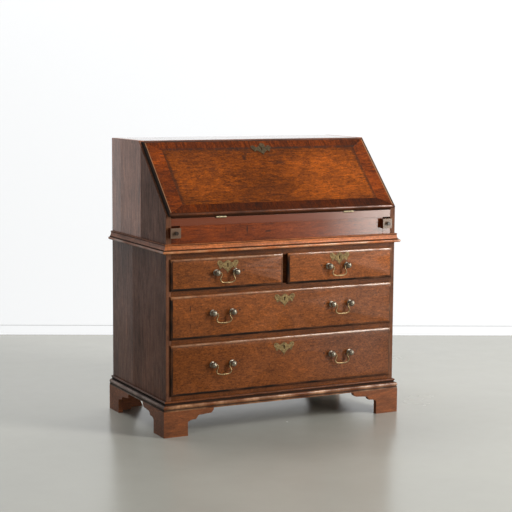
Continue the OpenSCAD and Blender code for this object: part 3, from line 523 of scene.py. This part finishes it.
def loft(rings):
    """Points and faces of a closed skin over rings that have as many points each."""
    count = len(rings[0])
    faces = []
    for r in range(len(rings) - 1):
        for i in range(count):
            j = (i + 1) % count
            faces.append((r * count + i, r * count + j, (r + 1) * count + j, (r + 1) * count + i))
    faces.append(tuple(reversed(range(count))))
    faces.append(tuple(range((len(rings) - 1) * count, len(rings) * count)))
    return [point for ring in rings for point in ring], faces


def rectangle_ring(u0, u1, v0, v1, steps_u, steps_v):
    """Points round a rectangle in its own two directions, as many on opposite sides."""
    ring = [(lerp(u0, u1, i / steps_u), v0) for i in range(steps_u)]
    ring += [(u1, lerp(v0, v1, i / steps_v)) for i in range(steps_v)]
    ring += [(lerp(u1, u0, i / steps_u), v1) for i in range(steps_u)]
    ring += [(u0, lerp(v1, v0, i / steps_v)) for i in range(steps_v)]
    return ring


def cut(piece, cutters):
    """Cuts other shapes out of a piece and removes them."""
    for cutter in cutters:
        modifier = piece.modifiers.new("cut", "BOOLEAN")
        modifier.operation = "DIFFERENCE"
        modifier.solver = "EXACT"
        modifier.object = cutter
    bpy.context.view_layer.update()
    graph = bpy.context.evaluated_depsgraph_get()
    mesh = bpy.data.meshes.new_from_object(piece.evaluated_get(graph))
    piece.modifiers.clear()
    piece.data = mesh
    for cutter in cutters:
        bpy.data.objects.remove(cutter)
    smooth(piece, 32)


def block(low, high, place):
    """A plain cutter between two corners, in the directions that place turns into the row frame."""
    ring = [(low[0], low[1]), (high[0], low[1]), (high[0], high[1]), (low[0], high[1])]
    return solid("cutter", *loft([[place((u, v, w)) for u, v in ring] for w in (low[2], high[2])]))


def rod_cutter(start, end, radius):
    """A round cutter between two points."""
    sides = 20
    axis = (Vector(end) - Vector(start)).normalized()
    across = axis.orthogonal().normalized()
    other = axis.cross(across)
    turns = [math.tau * i / sides for i in range(sides)]
    circle = [radius * (math.cos(turn) * across + math.sin(turn) * other) for turn in turns]
    return solid("cutter", *loft([[Vector(centre) + point for point in circle] for centre in (start, end)]))


def paint(piece, name, value_at):
    """Stores a value from 0 to 1 on each point of a piece."""
    attribute = piece.data.attributes.new(name, "FLOAT", "POINT")
    attribute.data.foreach_set("value", [max(0.0, min(1.0, value_at(v.co))) for v in piece.data.vertices])


def thumbnail(edge, step, depth):
    """Section of a thumbnail edge from the flat field outwards, as (distance in from the edge, drop)."""
    steps = 7
    foot = edge - 0.2 * MM
    section = [(edge + 1.2 * MM, 0.0), (edge, 0.08 * MM), (foot, step)]
    for i in range(1, steps + 1):
        turn = math.radians(90 * i / steps)
        section.append((foot * (1 - math.sin(turn)), step + depth * (1 - math.cos(turn))))
    return section


def moulded_board(name, place, size, section, lip_t, back, body, slot, material, seed, chips=1.0):
    """A board with a moulded lip all round and a smaller tongue behind it.

    place turns (across, up, out) into the row frame, with out measured from the field. size is the
    lip's (u0, u1, v0, v1), back is the tongue's (u0, u1, v0, v1, depth), and chips is how worn it is."""
    u0, u1, v0, v1 = size
    steps_u = round((u1 - u0) / STRIDE)
    steps_v = round((v1 - v0) / STRIDE)
    edge = section[1][0]

    def worn_down(point, inset):
        """How far the wood is worn at a point of the edge, most at the edge of the field."""
        near = min(abs(inset - edge), 2 * MM) / (2 * MM)
        bite = max(0.0, wobble(point, 0.018, seed) - 0.28) * 4.0
        uneven = wobble(point, 0.035, seed + 3) + 0.3 + bite
        return max(0.0, (1.0 - 0.6 * near) * 0.5 * MM * chips * uneven)

    def ring(u_low, u_high, v_low, v_high, out_at):
        around = rectangle_ring(u_low, u_high, v_low, v_high, steps_u, steps_v)
        return [place((u, v, out_at(u, v))) for u, v in around]

    rings = []
    for inset, drop in section:
        worn = 0.0 < inset and (drop > 0.0 or inset <= edge)
        rings.append(ring(
            u0 + inset, u1 - inset, v0 + inset, v1 - inset,
            lambda u, v: -drop - (worn_down(place((u, v, 0.0)), inset) if worn else 0.0)))
    rings.append(ring(*size, lambda u, v: -lip_t))
    *tongue, depth = back
    for out in (-lip_t, -depth):
        rings.append(ring(*tongue, lambda u, v: out))
    return new_piece(name, *loft(rings), body, slot, material)


# ---------- drawer fronts ----------

DRAWER_EDGE = 8.5 * MM
DRAWER_STEP = 0.9 * MM
DRAWER_ROUND = 4.6 * MM


def corners_where(node, keep):
    """Lowest and highest corner of the part of a CAD node whose points pass a test."""
    points = [co for co in cad_points(node) if keep(co)]
    return [Vector([end(p[i] for p in points) for i in range(3)]) for end in (min, max)]


def from_front(y_front):
    """Turns (across, up, out) into the row frame for an upright front."""
    return lambda p: Vector((p[0], y_front - p[2], p[1]))


def edge_paint(piece, size, flat, edge, seed, sides):
    """Wear and a painted highlight on the moulded edge, and grime and painted shade in its step, on the
    shaded sides of the lip and on the tongue behind it.

    size is the lip's (u0, u1, v0, v1). sides gives (wear and highlight, grime and shade) for the top, the
    bottom and both ends."""
    u0, u1, v0, v1 = size
    back = -7 * MM  # behind this is the tongue

    def nearest(co):
        u, v, out = flat(co)
        gaps = (("top", v1 - v), ("bottom", v - v0), ("ends", min(u - u0, u1 - u)))
        return *min(gaps, key=lambda item: item[1]), out

    def to_right(co):
        return (flat(co)[0] - u0) / (u1 - u0)

    def wear_and_highlight(co):
        side, gap, out = nearest(co)
        if gap > edge + 0.6 * MM or out < back:
            return 0.0
        crest = 1.0 - min(1.0, abs(gap - 0.45 * edge) / (0.5 * edge))
        # Painted highlight, stronger towards the right where more light falls.
        lit = lerp(0.6, 1.4, to_right(co))
        return sides[side][0] * lit * (0.85 + 1.1 * wobble(co, 0.045, seed)) * (0.25 + 0.75 * crest)

    def grime_and_shade(co):
        side, gap, out = nearest(co)
        # Painted shade on the tongue, which lies in the gap behind the lip.
        if out < back:
            return 0.75
        # Painted shade in the step under the edge, and dirt with painted shade on the edge, darker to the
        # left where less light falls.
        step = 0.85 if abs(gap - (edge - 0.4 * MM)) < 0.5 * MM else 0.0
        dirt_and_shade = sides[side][1] * lerp(1.35, 0.75, to_right(co))
        blackened = dirt_and_shade * (0.9 + 0.5 * wobble(co, 0.05, seed + 5)) if gap < edge - MM else 0.0
        return max(step * (0.6 + wobble(co, 0.03, seed + 5)), blackened)

    paint(piece, "wear_and_highlight", wear_and_highlight)
    paint(piece, "grime_and_shade", grime_and_shade)


def drawer_oak(drawer, index, plate, heads):
    """The wood of one drawer front, with old filled holes beside its handles and painted light and shade
    across its field.
    """
    stains = []

    def mark(x, z, width, height, amount):
        stains.append(((x, LIP_Y, z), (width, 0.02, height), amount))

    for head in heads:
        inwards = 1 if head.x < 0 else -1
        mark(head.x + inwards * 0.068, head.z + 0.004, 0.0045, 0.0045, 0.8)
        mark(head.x + inwards * 0.053 - MM, head.z + 0.002, 0.0035, 0.003, 0.55)
        # Dark patches round the posts, set a little below them: grime with painted shade under the heads.
        for side in (-1, 1):
            mark(head.x + side * POST_REACH, head.z - 0.006, 0.019, 0.019, 0.42)
    mark(plate.x, plate.z - 0.004, 0.045, 0.029, 0.42)
    if drawer == "upper":
        mark(-0.372, 0.444, 0.0022, 0.020, 0.8)
        mark(-0.372, 0.385, 0.0018, 0.012, 0.6)
        mark(-0.330, 0.462, 0.030, 0.0014, 0.5)
    if drawer == "lower":
        mark(0.085, 0.262, 0.045, 0.0022, 0.4)
    shade = (0.80, 1.0, 0.86, 0.72)[index]
    # Painted light and shade: the fronts' right and left parts are made lighter or darker to follow how the
    # light falls.
    painted_right_light = (1.0, 1.0, 0.98, 0.70)[index]
    return oak(
        f"oak_front_{drawer}", tone(DRAWER, shade), "x", run=45.0, contrast=0.8, speckle=1.3, gloss=0.38,
        shine=0.16, wax=0.15, painted=True, worn_and_highlight_colour=tone(WORN_AND_HIGHLIGHT, 0.85), stains=stains,
        lights=(((0.30, LIP_Y, 0.45), (0.34, 0.2, 0.50), painted_right_light),
                ((-0.40, LIP_Y, 0.30), (0.28, 0.2, 0.30), 0.88)))


def drawer_front(drawer, index):
    """A drawer front with its lip and edge, cut out for its lock and key."""
    node = f"{drawer}_front"
    low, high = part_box(node)
    back_low, back_high = corners_where(node, lambda co: co.y > high.y - TINY)
    plate_low, plate_high = corners_where(f"{drawer}_lock", lambda co: co.y < low.y)
    case_low, case_high = corners_where(f"{drawer}_lock", lambda co: co.y > FRONT_Y + 2 * MM)
    plate = Vector(((plate_low.x + plate_high.x) / 2, plate_low.y, plate_low.z + PLATE_POINT))
    heads = [Vector(JOINTS[f"{bail}_bail_swing"]["pos_m"]) for bail in BAILS if bail.startswith(drawer)]
    place = from_front(low.y)
    lip = (low.x, high.x, low.z, high.z)
    front = moulded_board(
        f"{drawer}_drawer_front", place, lip,
        thumbnail(DRAWER_EDGE, DRAWER_STEP, DRAWER_ROUND), FRONT_Y - ROOM - low.y,
        (back_low.x, back_high.x, back_low.z, back_high.z, high.y - low.y),
        f"{drawer}_drawer", "oak_front", drawer_oak(drawer, index, plate, heads), index)
    slot_x, slot_z = KEY_SLOT
    cut(front, [
        block((case_low.x - ROOM, case_low.z - ROOM, low.y - high.y - MM),
              (case_high.x + ROOM, back_high.z + MM, low.y - case_low.y + ROOM), place),
        block((plate.x - slot_x, plate.z - slot_z, low.y - case_low.y - MM),
              (plate.x + slot_x, plate.z + slot_z, MM), place),
    ])
    # The tops take a painted highlight on their worn edges; the bottoms and ends take painted shade under and
    # beside the lips.
    edge_paint(front, lip, lambda co: (co.x, co.z, low.y - co.y), DRAWER_EDGE, index,
               {"top": (1.2, 0.0), "bottom": (0.15, 0.95), "ends": (0.3, 0.7)})
    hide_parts(node)


for index, drawer in enumerate(DRAWERS):
    drawer_front(drawer, index)

# ---------- fall ----------

FALL_EDGE = 8.8 * MM
FALL_STEP = 1.0 * MM
FALL_ROUND = 5.2 * MM
BAND_T = 1.2 * MM


def on_fall(p):
    """Turns (across, up the slope from the hinge line, out) into the row frame."""
    return HINGE + Vector((p[0], 0, 0)) + UP_SLOPE * p[1] + OFF_SLOPE * p[2]


def to_fall(co):
    offset = Vector(co) - HINGE
    return offset.x, offset.dot(UP_SLOPE), offset.dot(OFF_SLOPE)


def fall_extent(node):
    """The lowest and highest values of a node across, up and out of the closed fall."""
    flat = [to_fall(co) for co in cad_points(node)]
    return [min(p[i] for p in flat) for i in range(3)], [max(p[i] for p in flat) for i in range(3)]


fall_low, fall_high = fall_extent("fall_board")
band_low, band_high = fall_extent("fall_crossbanding")
FALL_T = fall_high[2]
panel = [to_fall(co) for co in cad_points("fall_board") if to_fall(co)[2] < TINY]
panel_u = max(p[0] for p in panel)
panel_v = max(p[1] for p in panel)
BAND_SIDE = 54 * MM
BAND_BOTTOM = 34 * MM
BAND_TOP = 39 * MM


def fall_point(u, v):
    return tuple(on_fall((u, v, FALL_T)))


def slope_stain(u, v, across, up, amount):
    """A mark on the fall, flattened along the wood's surface."""
    return fall_point(u, v), (across, up, up), amount


def fall_wood():
    return oak(
        "oak_fall", FALL, "x", run=32.0, across=115.0, contrast=1.35, speckle=1.6, figure=0.7,
        patina=0.85, gloss=0.32, shine=0.14, coat=0.03, wax=0.15, painted=True,
        stains=(
            slope_stain(-0.082, 0.252, 0.012, 0.018, 0.75),
            slope_stain(-0.070, 0.268, 0.010, 0.010, 0.6),
            slope_stain(0.030, 0.262, 0.030, 0.010, 0.45),
            slope_stain(0.052, 0.226, 0.036, 0.010, 0.65),
            slope_stain(0.020, 0.232, 0.020, 0.006, 0.5),
            slope_stain(-0.345, 0.075, 0.016, 0.005, 0.55),
            slope_stain(-0.300, 0.056, 0.030, 0.004, 0.5),
            slope_stain(-0.25, 0.30, 0.20, 0.018, 0.40),
            slope_stain(0.20, 0.305, 0.24, 0.016, 0.45),
            slope_stain(-0.03, 0.29, 0.11, 0.022, 0.45),
            slope_stain(-0.388, 0.16, 0.013, 0.24, 0.62),
            slope_stain(0.388, 0.16, 0.013, 0.24, 0.62),
        ),
        # Lighter patches right and left on the field: partly the wood's own tone and partly a painted sheen.
        lights=(
            (fall_point(0.25, 0.15), (0.24, 0.16, 0.16), 2.2),
            (fall_point(-0.27, 0.16), (0.17, 0.14, 0.14), 1.6),
        ))


def band_cutters():
    """The shallow bed of the cross-banding, as four cutters."""
    gap = 0.1 * MM
    bed, above = FALL_T - BAND_T - gap, FALL_T + MM
    u0, v0, _ = band_low
    u1, v1, _ = band_high
    inner_low, inner_high = v0 + BAND_BOTTOM, v1 - BAND_TOP
    beds = (
        (u0, u1, v0, inner_low),
        (u0, u1, inner_high, v1),
        (u0, u0 + BAND_SIDE, inner_low - MM, inner_high + MM),
        (u1 - BAND_SIDE, u1, inner_low - MM, inner_high + MM),
    )
    for left, right, bottom, top in beds:
        yield block((left - gap, bottom - gap, bed), (right + gap, top + gap, above), on_fall)


def lock_cutters():
    """The room for the lock case and the slot for its key."""
    low, high = fall_extent("fall_lock")
    plate_low, plate_high = fall_extent("fall_escutcheon")
    u, v = (plate_low[0] + plate_high[0]) / 2, plate_low[1] + PLATE_POINT
    slot_u, slot_v = KEY_SLOT
    yield block((low[0] - ROOM, low[1] - ROOM, -MM), (high[0] + ROOM, panel_v + MM, high[2] + ROOM), on_fall)
    yield block((u - slot_u, v - slot_v, high[2] - MM), (u + slot_u, v + slot_v, FALL_T + MM), on_fall)


def hinge_cutters():
    """The beds of the hinge leaves and the room for their knuckles."""
    half, leaf_t, knuckle = 20.4 * MM, 1.75 * MM, 4 * MM
    leaf_end = fall_extent("fall_hinge_fall_leaves")[1][1] + 0.4 * MM
    for x in hinge_middles():
        yield block((x - half, -MM, -MM), (x + half, leaf_end, leaf_t), on_fall)
        yield rod_cutter(HINGE + Vector((x - half, 0, 0)), HINGE + Vector((x + half, 0, 0)), knuckle)


def fall_board():
    """The fall with its lip and edge, cut out for its banding, lock and hinges."""
    lip = (-fall_high[0], fall_high[0], fall_low[1], fall_high[1])
    front = moulded_board(
        "fall_panel", lambda p: on_fall((p[0], p[1], FALL_T + p[2])), lip,
        thumbnail(FALL_EDGE, FALL_STEP, FALL_ROUND), FALL_T / 2,
        (-panel_u, panel_u, fall_low[1], panel_v, FALL_T), "fall", "oak_fall", fall_wood(), 11, 0.8)
    cut(front, [*band_cutters(), *lock_cutters(), *hinge_cutters()])
    # The bottom lip's wear paints its highlight; the top and the ends are darkened, partly dirt and partly
    # painted shade.
    edge_paint(front, lip, lambda co: tuple(Vector(to_fall(co)) - Vector((0, 0, FALL_T))), FALL_EDGE, 5,
               {"top": (0.1, 0.75), "bottom": (1.0, 0.5), "ends": (0.0, 1.4)})
    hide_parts("fall_board")


def hinge_middles():
    """Where the two hinges are across the fall."""
    xs = [co.x for co in cad_points("fall_hinge_pins")]
    left = [x for x in xs if x < 0]
    right = [x for x in xs if x > 0]
    return (min(left) + max(left)) / 2, (min(right) + max(right)) / 2


def band_strip(name, corners, grain, shade, lights=(), edges=()):
    """One mitred strip of cross-banding, let into the face, with its top edges eased."""
    material = oak(f"oak_{name}", tone(BAND, shade), grain, run=20.0, across=100.0, contrast=1.6, speckle=1.5,
                   figure=0.3, patina=0.9, gloss=0.32, shine=0.13, coat=0.02, lights=lights, edges=edges)
    rings = []
    middle = Vector((sum(c[0] for c in corners) / 4, sum(c[1] for c in corners) / 4))
    eased = 0.15 * MM
    for out, inset in ((FALL_T - BAND_T, 0.0), (FALL_T - eased, 0.0), (FALL_T, eased)):
        ring = []
        for u, v in corners:
            towards = (middle - Vector((u, v))).normalized() * inset
            ring.append(on_fall((u + towards.x, v + towards.y, out)))
        rings.append(ring)
    return new_piece(name, *loft(rings), "fall", "oak_band", material, 30)


def cross_banding():
    u1, v0, v3 = band_high[0], band_low[1], band_high[1]
    u0 = u1 - BAND_SIDE
    v1 = v0 + BAND_BOTTOM
    v2 = v3 - BAND_TOP
    g = 0.2 * MM  # gap at a mitre
    corners = ((-u1 + g, v0), (u1 - g, v0), (u0 - g, v1), (-u0 + g, v1))
    bottom = band_strip("band_bottom", corners, "slope", 0.47,
                        lights=((fall_point(-0.42, 0.03), (0.16, 0.1, 0.1), 1.5),))
    corners = ((-u1 + g, v3), (u1 - g, v3), (u0 - g, v2), (-u0 + g, v2))
    band_strip("band_top", corners, "slope", 0.86,
               edges=(("z", fall_point(0, v2)[2], 8 * MM, 0.9, tone(DIRT_AND_SHADE, 2.0)),))
    # The light line at each end strip's outer edge is a painted highlight on the arris beside the dark lip.
    ends = ("right", 1, 1.22, 3.0, WORN_AND_HIGHLIGHT), ("left", -1, 1.12, 2.6, tone(WORN_AND_HIGHLIGHT, 0.8))
    for side, k, shade, edge, worn in ends:
        corners = ((k * u1, v0 + g), (k * u1, v3 - g), (k * u0, v2 - g), (k * u0, v1 + g))
        band_strip(f"band_{side}", corners, "x", shade, edges=(("x", k * u1, edge * MM, 1.0, worn),))
    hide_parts("fall_crossbanding")


fall_board()
cross_banding()

# ---------- mouldings ----------


def arc(cx, cy, radius, start, end, steps):
    """Points on an arc, with its angles in degrees."""
    points = []
    for i in range(steps + 1):
        turn = math.radians(lerp(start, end, i / steps))
        points.append((cx + radius * math.cos(turn), cy + radius * math.sin(turn)))
    return points


def waist_section(low, high, out):
    """Round bead, fillet, hollow and top fillet of the waist moulding, as (projection, height)."""
    bead = 5 * MM
    fillet = out - 6 * MM
    hollow = fillet - 5 * MM
    start, end = low + 12.5 * MM, high - 3.5 * MM
    turns = [math.radians(9 * i) for i in range(11)]
    curve = [(lerp(fillet, hollow, math.sin(t)), lerp(start, end, 1 - math.cos(t))) for t in turns]
    return ([(0.1 * MM, low), (out - bead, low)] + arc(out - bead, low + bead, bead, -90, 90, 14)[1:]
            + [(fillet, low + 2 * bead)] + curve
            + [(hollow + MM, end), (hollow + MM, high), (0.1 * MM, high)])


def base_section(low, high, out):
    """Plain face, large round, groove and small bead of the base moulding, as (projection, height)."""
    return (
        [(0.1 * MM, low), (out - MM, low), (out - MM, low + 6 * MM), (out - 2.5 * MM, low + 7.5 * MM)]
        + arc(out - 7.5 * MM, low + 14.5 * MM, 7.5 * MM, -50, 90, 14)
        + [(out - 9.5 * MM, low + 22 * MM), (5 * MM, low + 24.5 * MM), (5 * MM, high - 7 * MM)]
        + arc(4.5 * MM, high - 3.5 * MM, 3.5 * MM, -80, 90, 10) + [(0.1 * MM, high)]
    )


def moulding_run(name, section, start, end, out, mitres, material, seed):
    """A length of moulding between two points on the carcase; mitres say which ends are cut outwards."""
    start, end, out = Vector(start), Vector(end), Vector(out)
    along = (end - start).normalized()
    steps = round((end - start).length / STRIDE)
    rings = []
    for i in range(steps + 1):
        ring = []
        for projection, height in section:
            a = start - along * projection * mitres[0]
            b = end + along * projection * mitres[1]
            point = a.lerp(b, i / steps) + out * projection
            point.z = height
            rub = 0.0
            if projection > MM:
                rub = max(0.0, wobble(point, 0.03, seed)) * 0.0003
                rub += max(0.0, wobble(point, 0.012, seed + 4) - 0.36) * 0.003
            ring.append(point - out * min(rub, projection * 0.3))
        rings.append(ring)
    return new_piece(name, *loft(rings), "carcase", "oak_moulding", material, 28)


def moulding_paint(piece, seed, crest, quirks):
    """Wear and a painted highlight on what stands out most, and grime and painted shade in the quirks and
    where the moulding meets the carcase.
    """

    def stand(co):
        return max(abs(co.x) - HALF_W, FRONT_Y - co.y)

    def wear_and_highlight(co):
        # Wear with a painted highlight on the crests of the moulding.
        out = stand(co) / crest
        return max(0.0, out - 0.55) * 2.0 * (0.6 + 1.2 * wobble(co, 0.05, seed))

    def grime_and_shade(co):
        # Painted shade, with some grime, where the moulding meets the carcase and in its quirks.
        if stand(co) < 0.6 * MM:
            return 0.8
        return 0.9 * (1.0 - min(abs(co.z - quirk) for quirk in quirks) / (1.5 * MM))

    paint(piece, "wear_and_highlight", wear_and_highlight)
    paint(piece, "grime_and_shade", grime_and_shade)


def moulding(node, section_of, shade, seed, up, down):
    """A moulding in three runs; up and down place its quirks above its bottom and below its top, in mm."""
    low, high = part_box(node)
    crest = high.x - HALF_W
    section = section_of(low.z, high.z, crest)
    quirks = [low.z + height * MM for height in up] + [high.z - height * MM for height in down]
    side_start = FRONT_Y + 0.2 * MM
    front_oak = oak(f"oak_{node}_front", tone(MOULDING, shade), "x", contrast=0.9, patina=0.6, gloss=0.34,
                    shine=0.14, coat=0.08, wax=0.18, painted=True, worn_and_highlight_colour=(0.56, 0.28, 0.13))
    # The side runs use a darker copy: painted shade for sides that face away from the light.
    shaded_side_oak = oak(f"oak_{node}_sides", tone(MOULDING, shade * 0.62), "y", contrast=0.9, patina=0.6,
                   gloss=0.42, painted=True, worn_and_highlight_colour=tone(WORN_AND_HIGHLIGHT, 0.6))
    runs = [moulding_run(f"{node}_front", section, (-HALF_W, FRONT_Y, 0), (HALF_W, FRONT_Y, 0), (0, -1, 0),
                         (1, 1), front_oak, seed)]
    for number, (side, k) in enumerate((("left", -1), ("right", 1)), 1):
        x = k * HALF_W
        runs.append(moulding_run(f"{node}_{side}", section, (x, side_start, 0), (x, BACK_Y, 0), (k, 0, 0),
                                 (1, 0), shaded_side_oak, seed + number))
    for run in runs:
        moulding_paint(run, seed, crest, quirks)
    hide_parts(node)


moulding("waist_moulding", waist_section, 1.7, 21, (10.0, 12.5), (3.5,))
moulding("base_moulding", base_section, 0.55, 31, (6.0, 7.5, 22.0, 24.5), (7.0,))

# ---------- handles ----------


def lathe(profile, centre):
    """Rings of a turned shape whose axis points out of the drawer, from (radius, distance out) points."""
    sides = 28
    turns = [math.tau * i / sides for i in range(sides)]
    return [[centre + Vector((radius * math.cos(turn), -out, radius * math.sin(turn))) for turn in turns]
            for radius, out in profile]


def post_profile():
    """Shank, rose, neck, round head and small button, as (radius, distance out of the drawer front)."""
    rose = [(10.5, 0.05), (10.8, 0.5), (10.3, 1.1), (8.7, 1.5), (8.2, 2.1), (5.8, 2.7), (4.2, 3.5)]
    neck = [(3.7, 4.6), (4.4, 5.4), (4.5, 5.9)]
    turns = [math.radians(a) for a in range(28, 165, 11)]
    head = [(11.0 * math.sin(turn), 15.0 - 9.6 * math.cos(turn)) for turn in turns]
    button = [(2.4, 24.4), (2.2, 24.75), (1.2, 24.95)]
    return [(2.5, -27.0), (2.5, 0.0)] + rose + neck + head + button


def nut(x, y, z):
    """A square nut behind the drawer front, slightly out of true, as its own closed shape."""
    half, thick, turn = 6 * MM, 3.6 * MM, math.radians(7)
    rings = []
    for out, size in ((0.0, 0.94), (0.4 * MM, 1.0), (thick - 0.4 * MM, 1.0), (thick, 0.9)):
        ring = []
        for i in range(4):
            angle = turn + math.radians(45 + 90 * i)
            reach = half * math.sqrt(2) * size
            ring.append(Vector((x + reach * math.cos(angle), y + out, z + reach * math.sin(angle))))
        rings.append(ring)
    return loft(rings)


def join_shapes(shapes):
    """One list of points and faces from several."""
    points, faces = [], []
    for more_points, more_faces in shapes:
        start = len(points)
        points += more_points
        faces += [tuple(i + start for i in face) for face in more_faces]
    return points, faces


def posts(drawer):
    """All the handle posts of a drawer, with their nuts."""
    node = f"{drawer}_posts"
    low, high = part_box(node)
    profile = [(r * MM, d * MM) for r, d in post_profile()]
    shapes = []
    pivots = [Vector(JOINTS[f"{bail}_bail_swing"]["pos_m"]) for bail in BAILS if bail.startswith(drawer)]
    for pivot in pivots:
        for side in (-1, 1):
            x = pivot.x + side * POST_REACH
            shapes.append(loft(lathe(profile, Vector((x, LIP_Y, pivot.z)))))
            shapes.append(nut(x, FRONT_Y + 14.2 * MM, pivot.z))
    piece = new_piece(f"{drawer}_handle_posts", *join_shapes(shapes), f"{drawer}_drawer", "old_brass",
                      handle_brass, 40)
    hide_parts(node)


def smooth_path(points, steps):
    """A curve through the points, as (x, z, radius) rows."""
    path = []
    for i in range(len(points) - 1):
        p0, p1 = points[max(i - 1, 0)], points[i]
        p2, p3 = points[i + 1], points[min(i + 2, len(points) - 1)]
        for s in range(steps):
            t = s / steps
            row = []
            for a, b, c, d in zip(p0, p1, p2, p3):
                row.append(0.5 * (2 * b + (c - a) * t + (2 * a - 5 * b + 4 * c - d) * t * t
                                  + (3 * b - a - 3 * c + d) * t ** 3))
            path.append(row)
    path.append(list(points[-1]))
    return path


# Right half of a swan-neck bail from the head to the middle of the bar: x, z and radius in millimetres
BAIL_HALF = (
    (40.8, 0.0, 2.25), (34.0, 0.0, 2.25), (28.5, 0.0, 2.2), (25.0, -1.0, 2.0), (22.6, -4.0, 1.9),
    (22.4, -8.5, 2.0), (24.6, -13.5, 2.2), (27.4, -18.5, 2.45), (28.4, -24.0, 2.5), (25.8, -29.6, 2.4),
    (20.4, -33.2, 2.3), (12.0, -34.9, 2.5), (0.0, -35.4, 3.0),
)


def bail(name):
    pivot = Vector(JOINTS[f"{name}_bail_swing"]["pos_m"])
    half = smooth_path(BAIL_HALF, 5)
    rows = half + [[-x, z, r] for x, z, r in reversed(half[:-1])]
    sides = 14
    rings = []
    for i, (x, z, radius) in enumerate(rows):
        before, after = rows[max(i - 1, 0)], rows[min(i + 1, len(rows) - 1)]
        ahead = Vector((after[0] - before[0], 0, after[1] - before[1])).normalized()
        across = Vector((0, 1, 0))
        other = ahead.cross(across)
        ring = []
        for k in range(sides):
            turn = math.tau * k / sides
            offset = (across * math.cos(turn) * 0.92 + other * math.sin(turn)) * radius
            ring.append(pivot + (Vector((x, 0, z)) + offset) * MM)
        rings.append(ring)
    piece = new_piece(f"{name}_swan_neck", *loft(rings), f"{name}_bail", "old_brass", bail_brass, 50)
    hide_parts(f"{name}_bail")


for drawer in DRAWERS:
    posts(drawer)
for name in BAILS:
    bail(name)

# ---------- stage, light and camera ----------


def plain_finish(name, colour, roughness, mottled, size, glow):
    """A plain floor or wall finish, clear from behind so that the back and underside can be seen."""
    finish = Finish(name)
    place = finish.coordinates()
    cloudy = finish.noise(place, size, 5.0, 0.6)
    finish.set(
        Base_Color=finish.mix(cloudy, tone(colour, 1.0 - mottled), tone(colour, 1.0 + mottled)),
        Roughness=finish.spread(cloudy, 0.3, 0.7, roughness, roughness + 0.08),
    )
    finish.surface.inputs["Emission Color"].default_value = (0.97, 0.985, 1.0, 1.0)
    finish.surface.inputs["Emission Strength"].default_value = glow
    blend = finish.node("ShaderNodeMixShader")
    finish.plug(blend.inputs[0], finish.node("ShaderNodeNewGeometry").outputs["Backfacing"])
    finish.plug(blend.inputs[1], finish.surface.outputs[0])
    finish.plug(blend.inputs[2], finish.node("ShaderNodeBsdfTransparent").outputs[0])
    finish.plug(finish.output.inputs["Surface"], blend.outputs[0])
    return finish.material


def stage():
    """A pale polished floor and a white wall with a skirting behind it."""
    wall_at = Vector((0.72, 1.42, 0))
    wall_turn = math.radians(-25.5)
    along = Vector((math.cos(wall_turn), math.sin(wall_turn), 0))
    towards = Vector((along.y, -along.x, 0))
    reach, room = 7.0, 11.0
    height, skirting, thick = 5.0, 0.045, 0.010
    # Strips as long as the wall: how far each long edge is in front of the wall, and how high
    strips = (
        ((room, 0), (-room, 0)),
        ((0, skirting), (0, height)),
        ((thick, 0), (thick, skirting)),
        ((0, skirting), (thick, skirting)),
    )
    shape = bmesh.new()
    for number, (first, second) in enumerate(strips):
        corners = []
        for (ahead, up), way in ((first, -1), (first, 1), (second, 1), (second, -1)):
            corners.append(wall_at + along * way * reach + towards * ahead + Vector((0, 0, up)))
        face = shape.faces.new([shape.verts.new(corner) for corner in corners])
        face.material_index = min(number, 1)
    mesh = bpy.data.meshes.new("stage")
    shape.to_mesh(mesh)
    shape.free()
    mesh.materials.append(plain_finish("floor", (0.395, 0.39, 0.345), 0.20, 0.10, 2.2, 0.0))
    mesh.materials.append(plain_finish("wall", (0.28, 0.283, 0.286), 0.9, 0.01, 1.0, 0.755))
    add_object("stage", mesh)


def area_light(name, place, target, size, radiance, colour=(1, 1, 1)):
    light = bpy.data.lights.new(name, "AREA")
    light.shape = "RECTANGLE"
    light.size, light.size_y = size
    light.energy = radiance * math.pi * size[0] * size[1]
    light.color = colour
    lamp = add_object(name, light)
    lamp.location = place
    lamp.rotation_euler = (Vector(target) - Vector(place)).to_track_quat("-Z", "Y").to_euler()


def lights():
    world = bpy.data.worlds.new("world")
    world.use_nodes = True
    background = world.node_tree.nodes["Background"]
    background.inputs["Color"].default_value = (0.95, 0.98, 1.0, 1.0)
    background.inputs["Strength"].default_value = 0.12
    bpy.context.scene.world = world
    area_light("ceiling", (-0.4, 1.25, 3.2), (-0.3, 0.3, 0), (3.0, 1.0), 4.6)
    area_light("window", (3.2, -3.7, 1.6), (0.3, -0.25, 1.2), (1.5, 3.2), 11.5, (1.0, 0.975, 0.92))
    area_light("front", (2.4, -2.9, 3.0), (0.2, -0.2, 0.5), (1.0, 0.8), 31.0)
    area_light("overhead", (-1.4, -2.0, 3.3), (0, -0.2, 0.6), (1.2, 0.8), 7.0)
    area_light("wall_wash", (-0.2, 0.3, 4.4), (0.3, 1.4, 4.6), (6.0, 1.0), 2.2)


def camera():
    """The camera, level with the top of the object and to its left."""
    yaw, down, roll = math.radians(27.02), math.radians(7.11), math.radians(0.38)
    forward = Vector((math.sin(yaw) * math.cos(down), math.cos(yaw) * math.cos(down), -math.sin(down)))
    level = Vector((math.cos(yaw), -math.sin(yaw), 0))
    above = level.cross(forward)
    right = level * math.cos(roll) + above * math.sin(roll)
    up = above * math.cos(roll) - level * math.sin(roll)
    data = bpy.data.cameras.new("camera")
    data.lens = 100.9
    data.sensor_width = 36
    holder = add_object("camera", data)
    turn = Matrix((right, up, -forward)).transposed()
    holder.matrix_world = Matrix.Translation((-2.3945, -4.7038, 1.2417)) @ turn.to_4x4()
    bpy.context.scene.camera = holder


stage()
lights()
camera()
bpy.context.scene.view_settings.view_transform = "Standard"
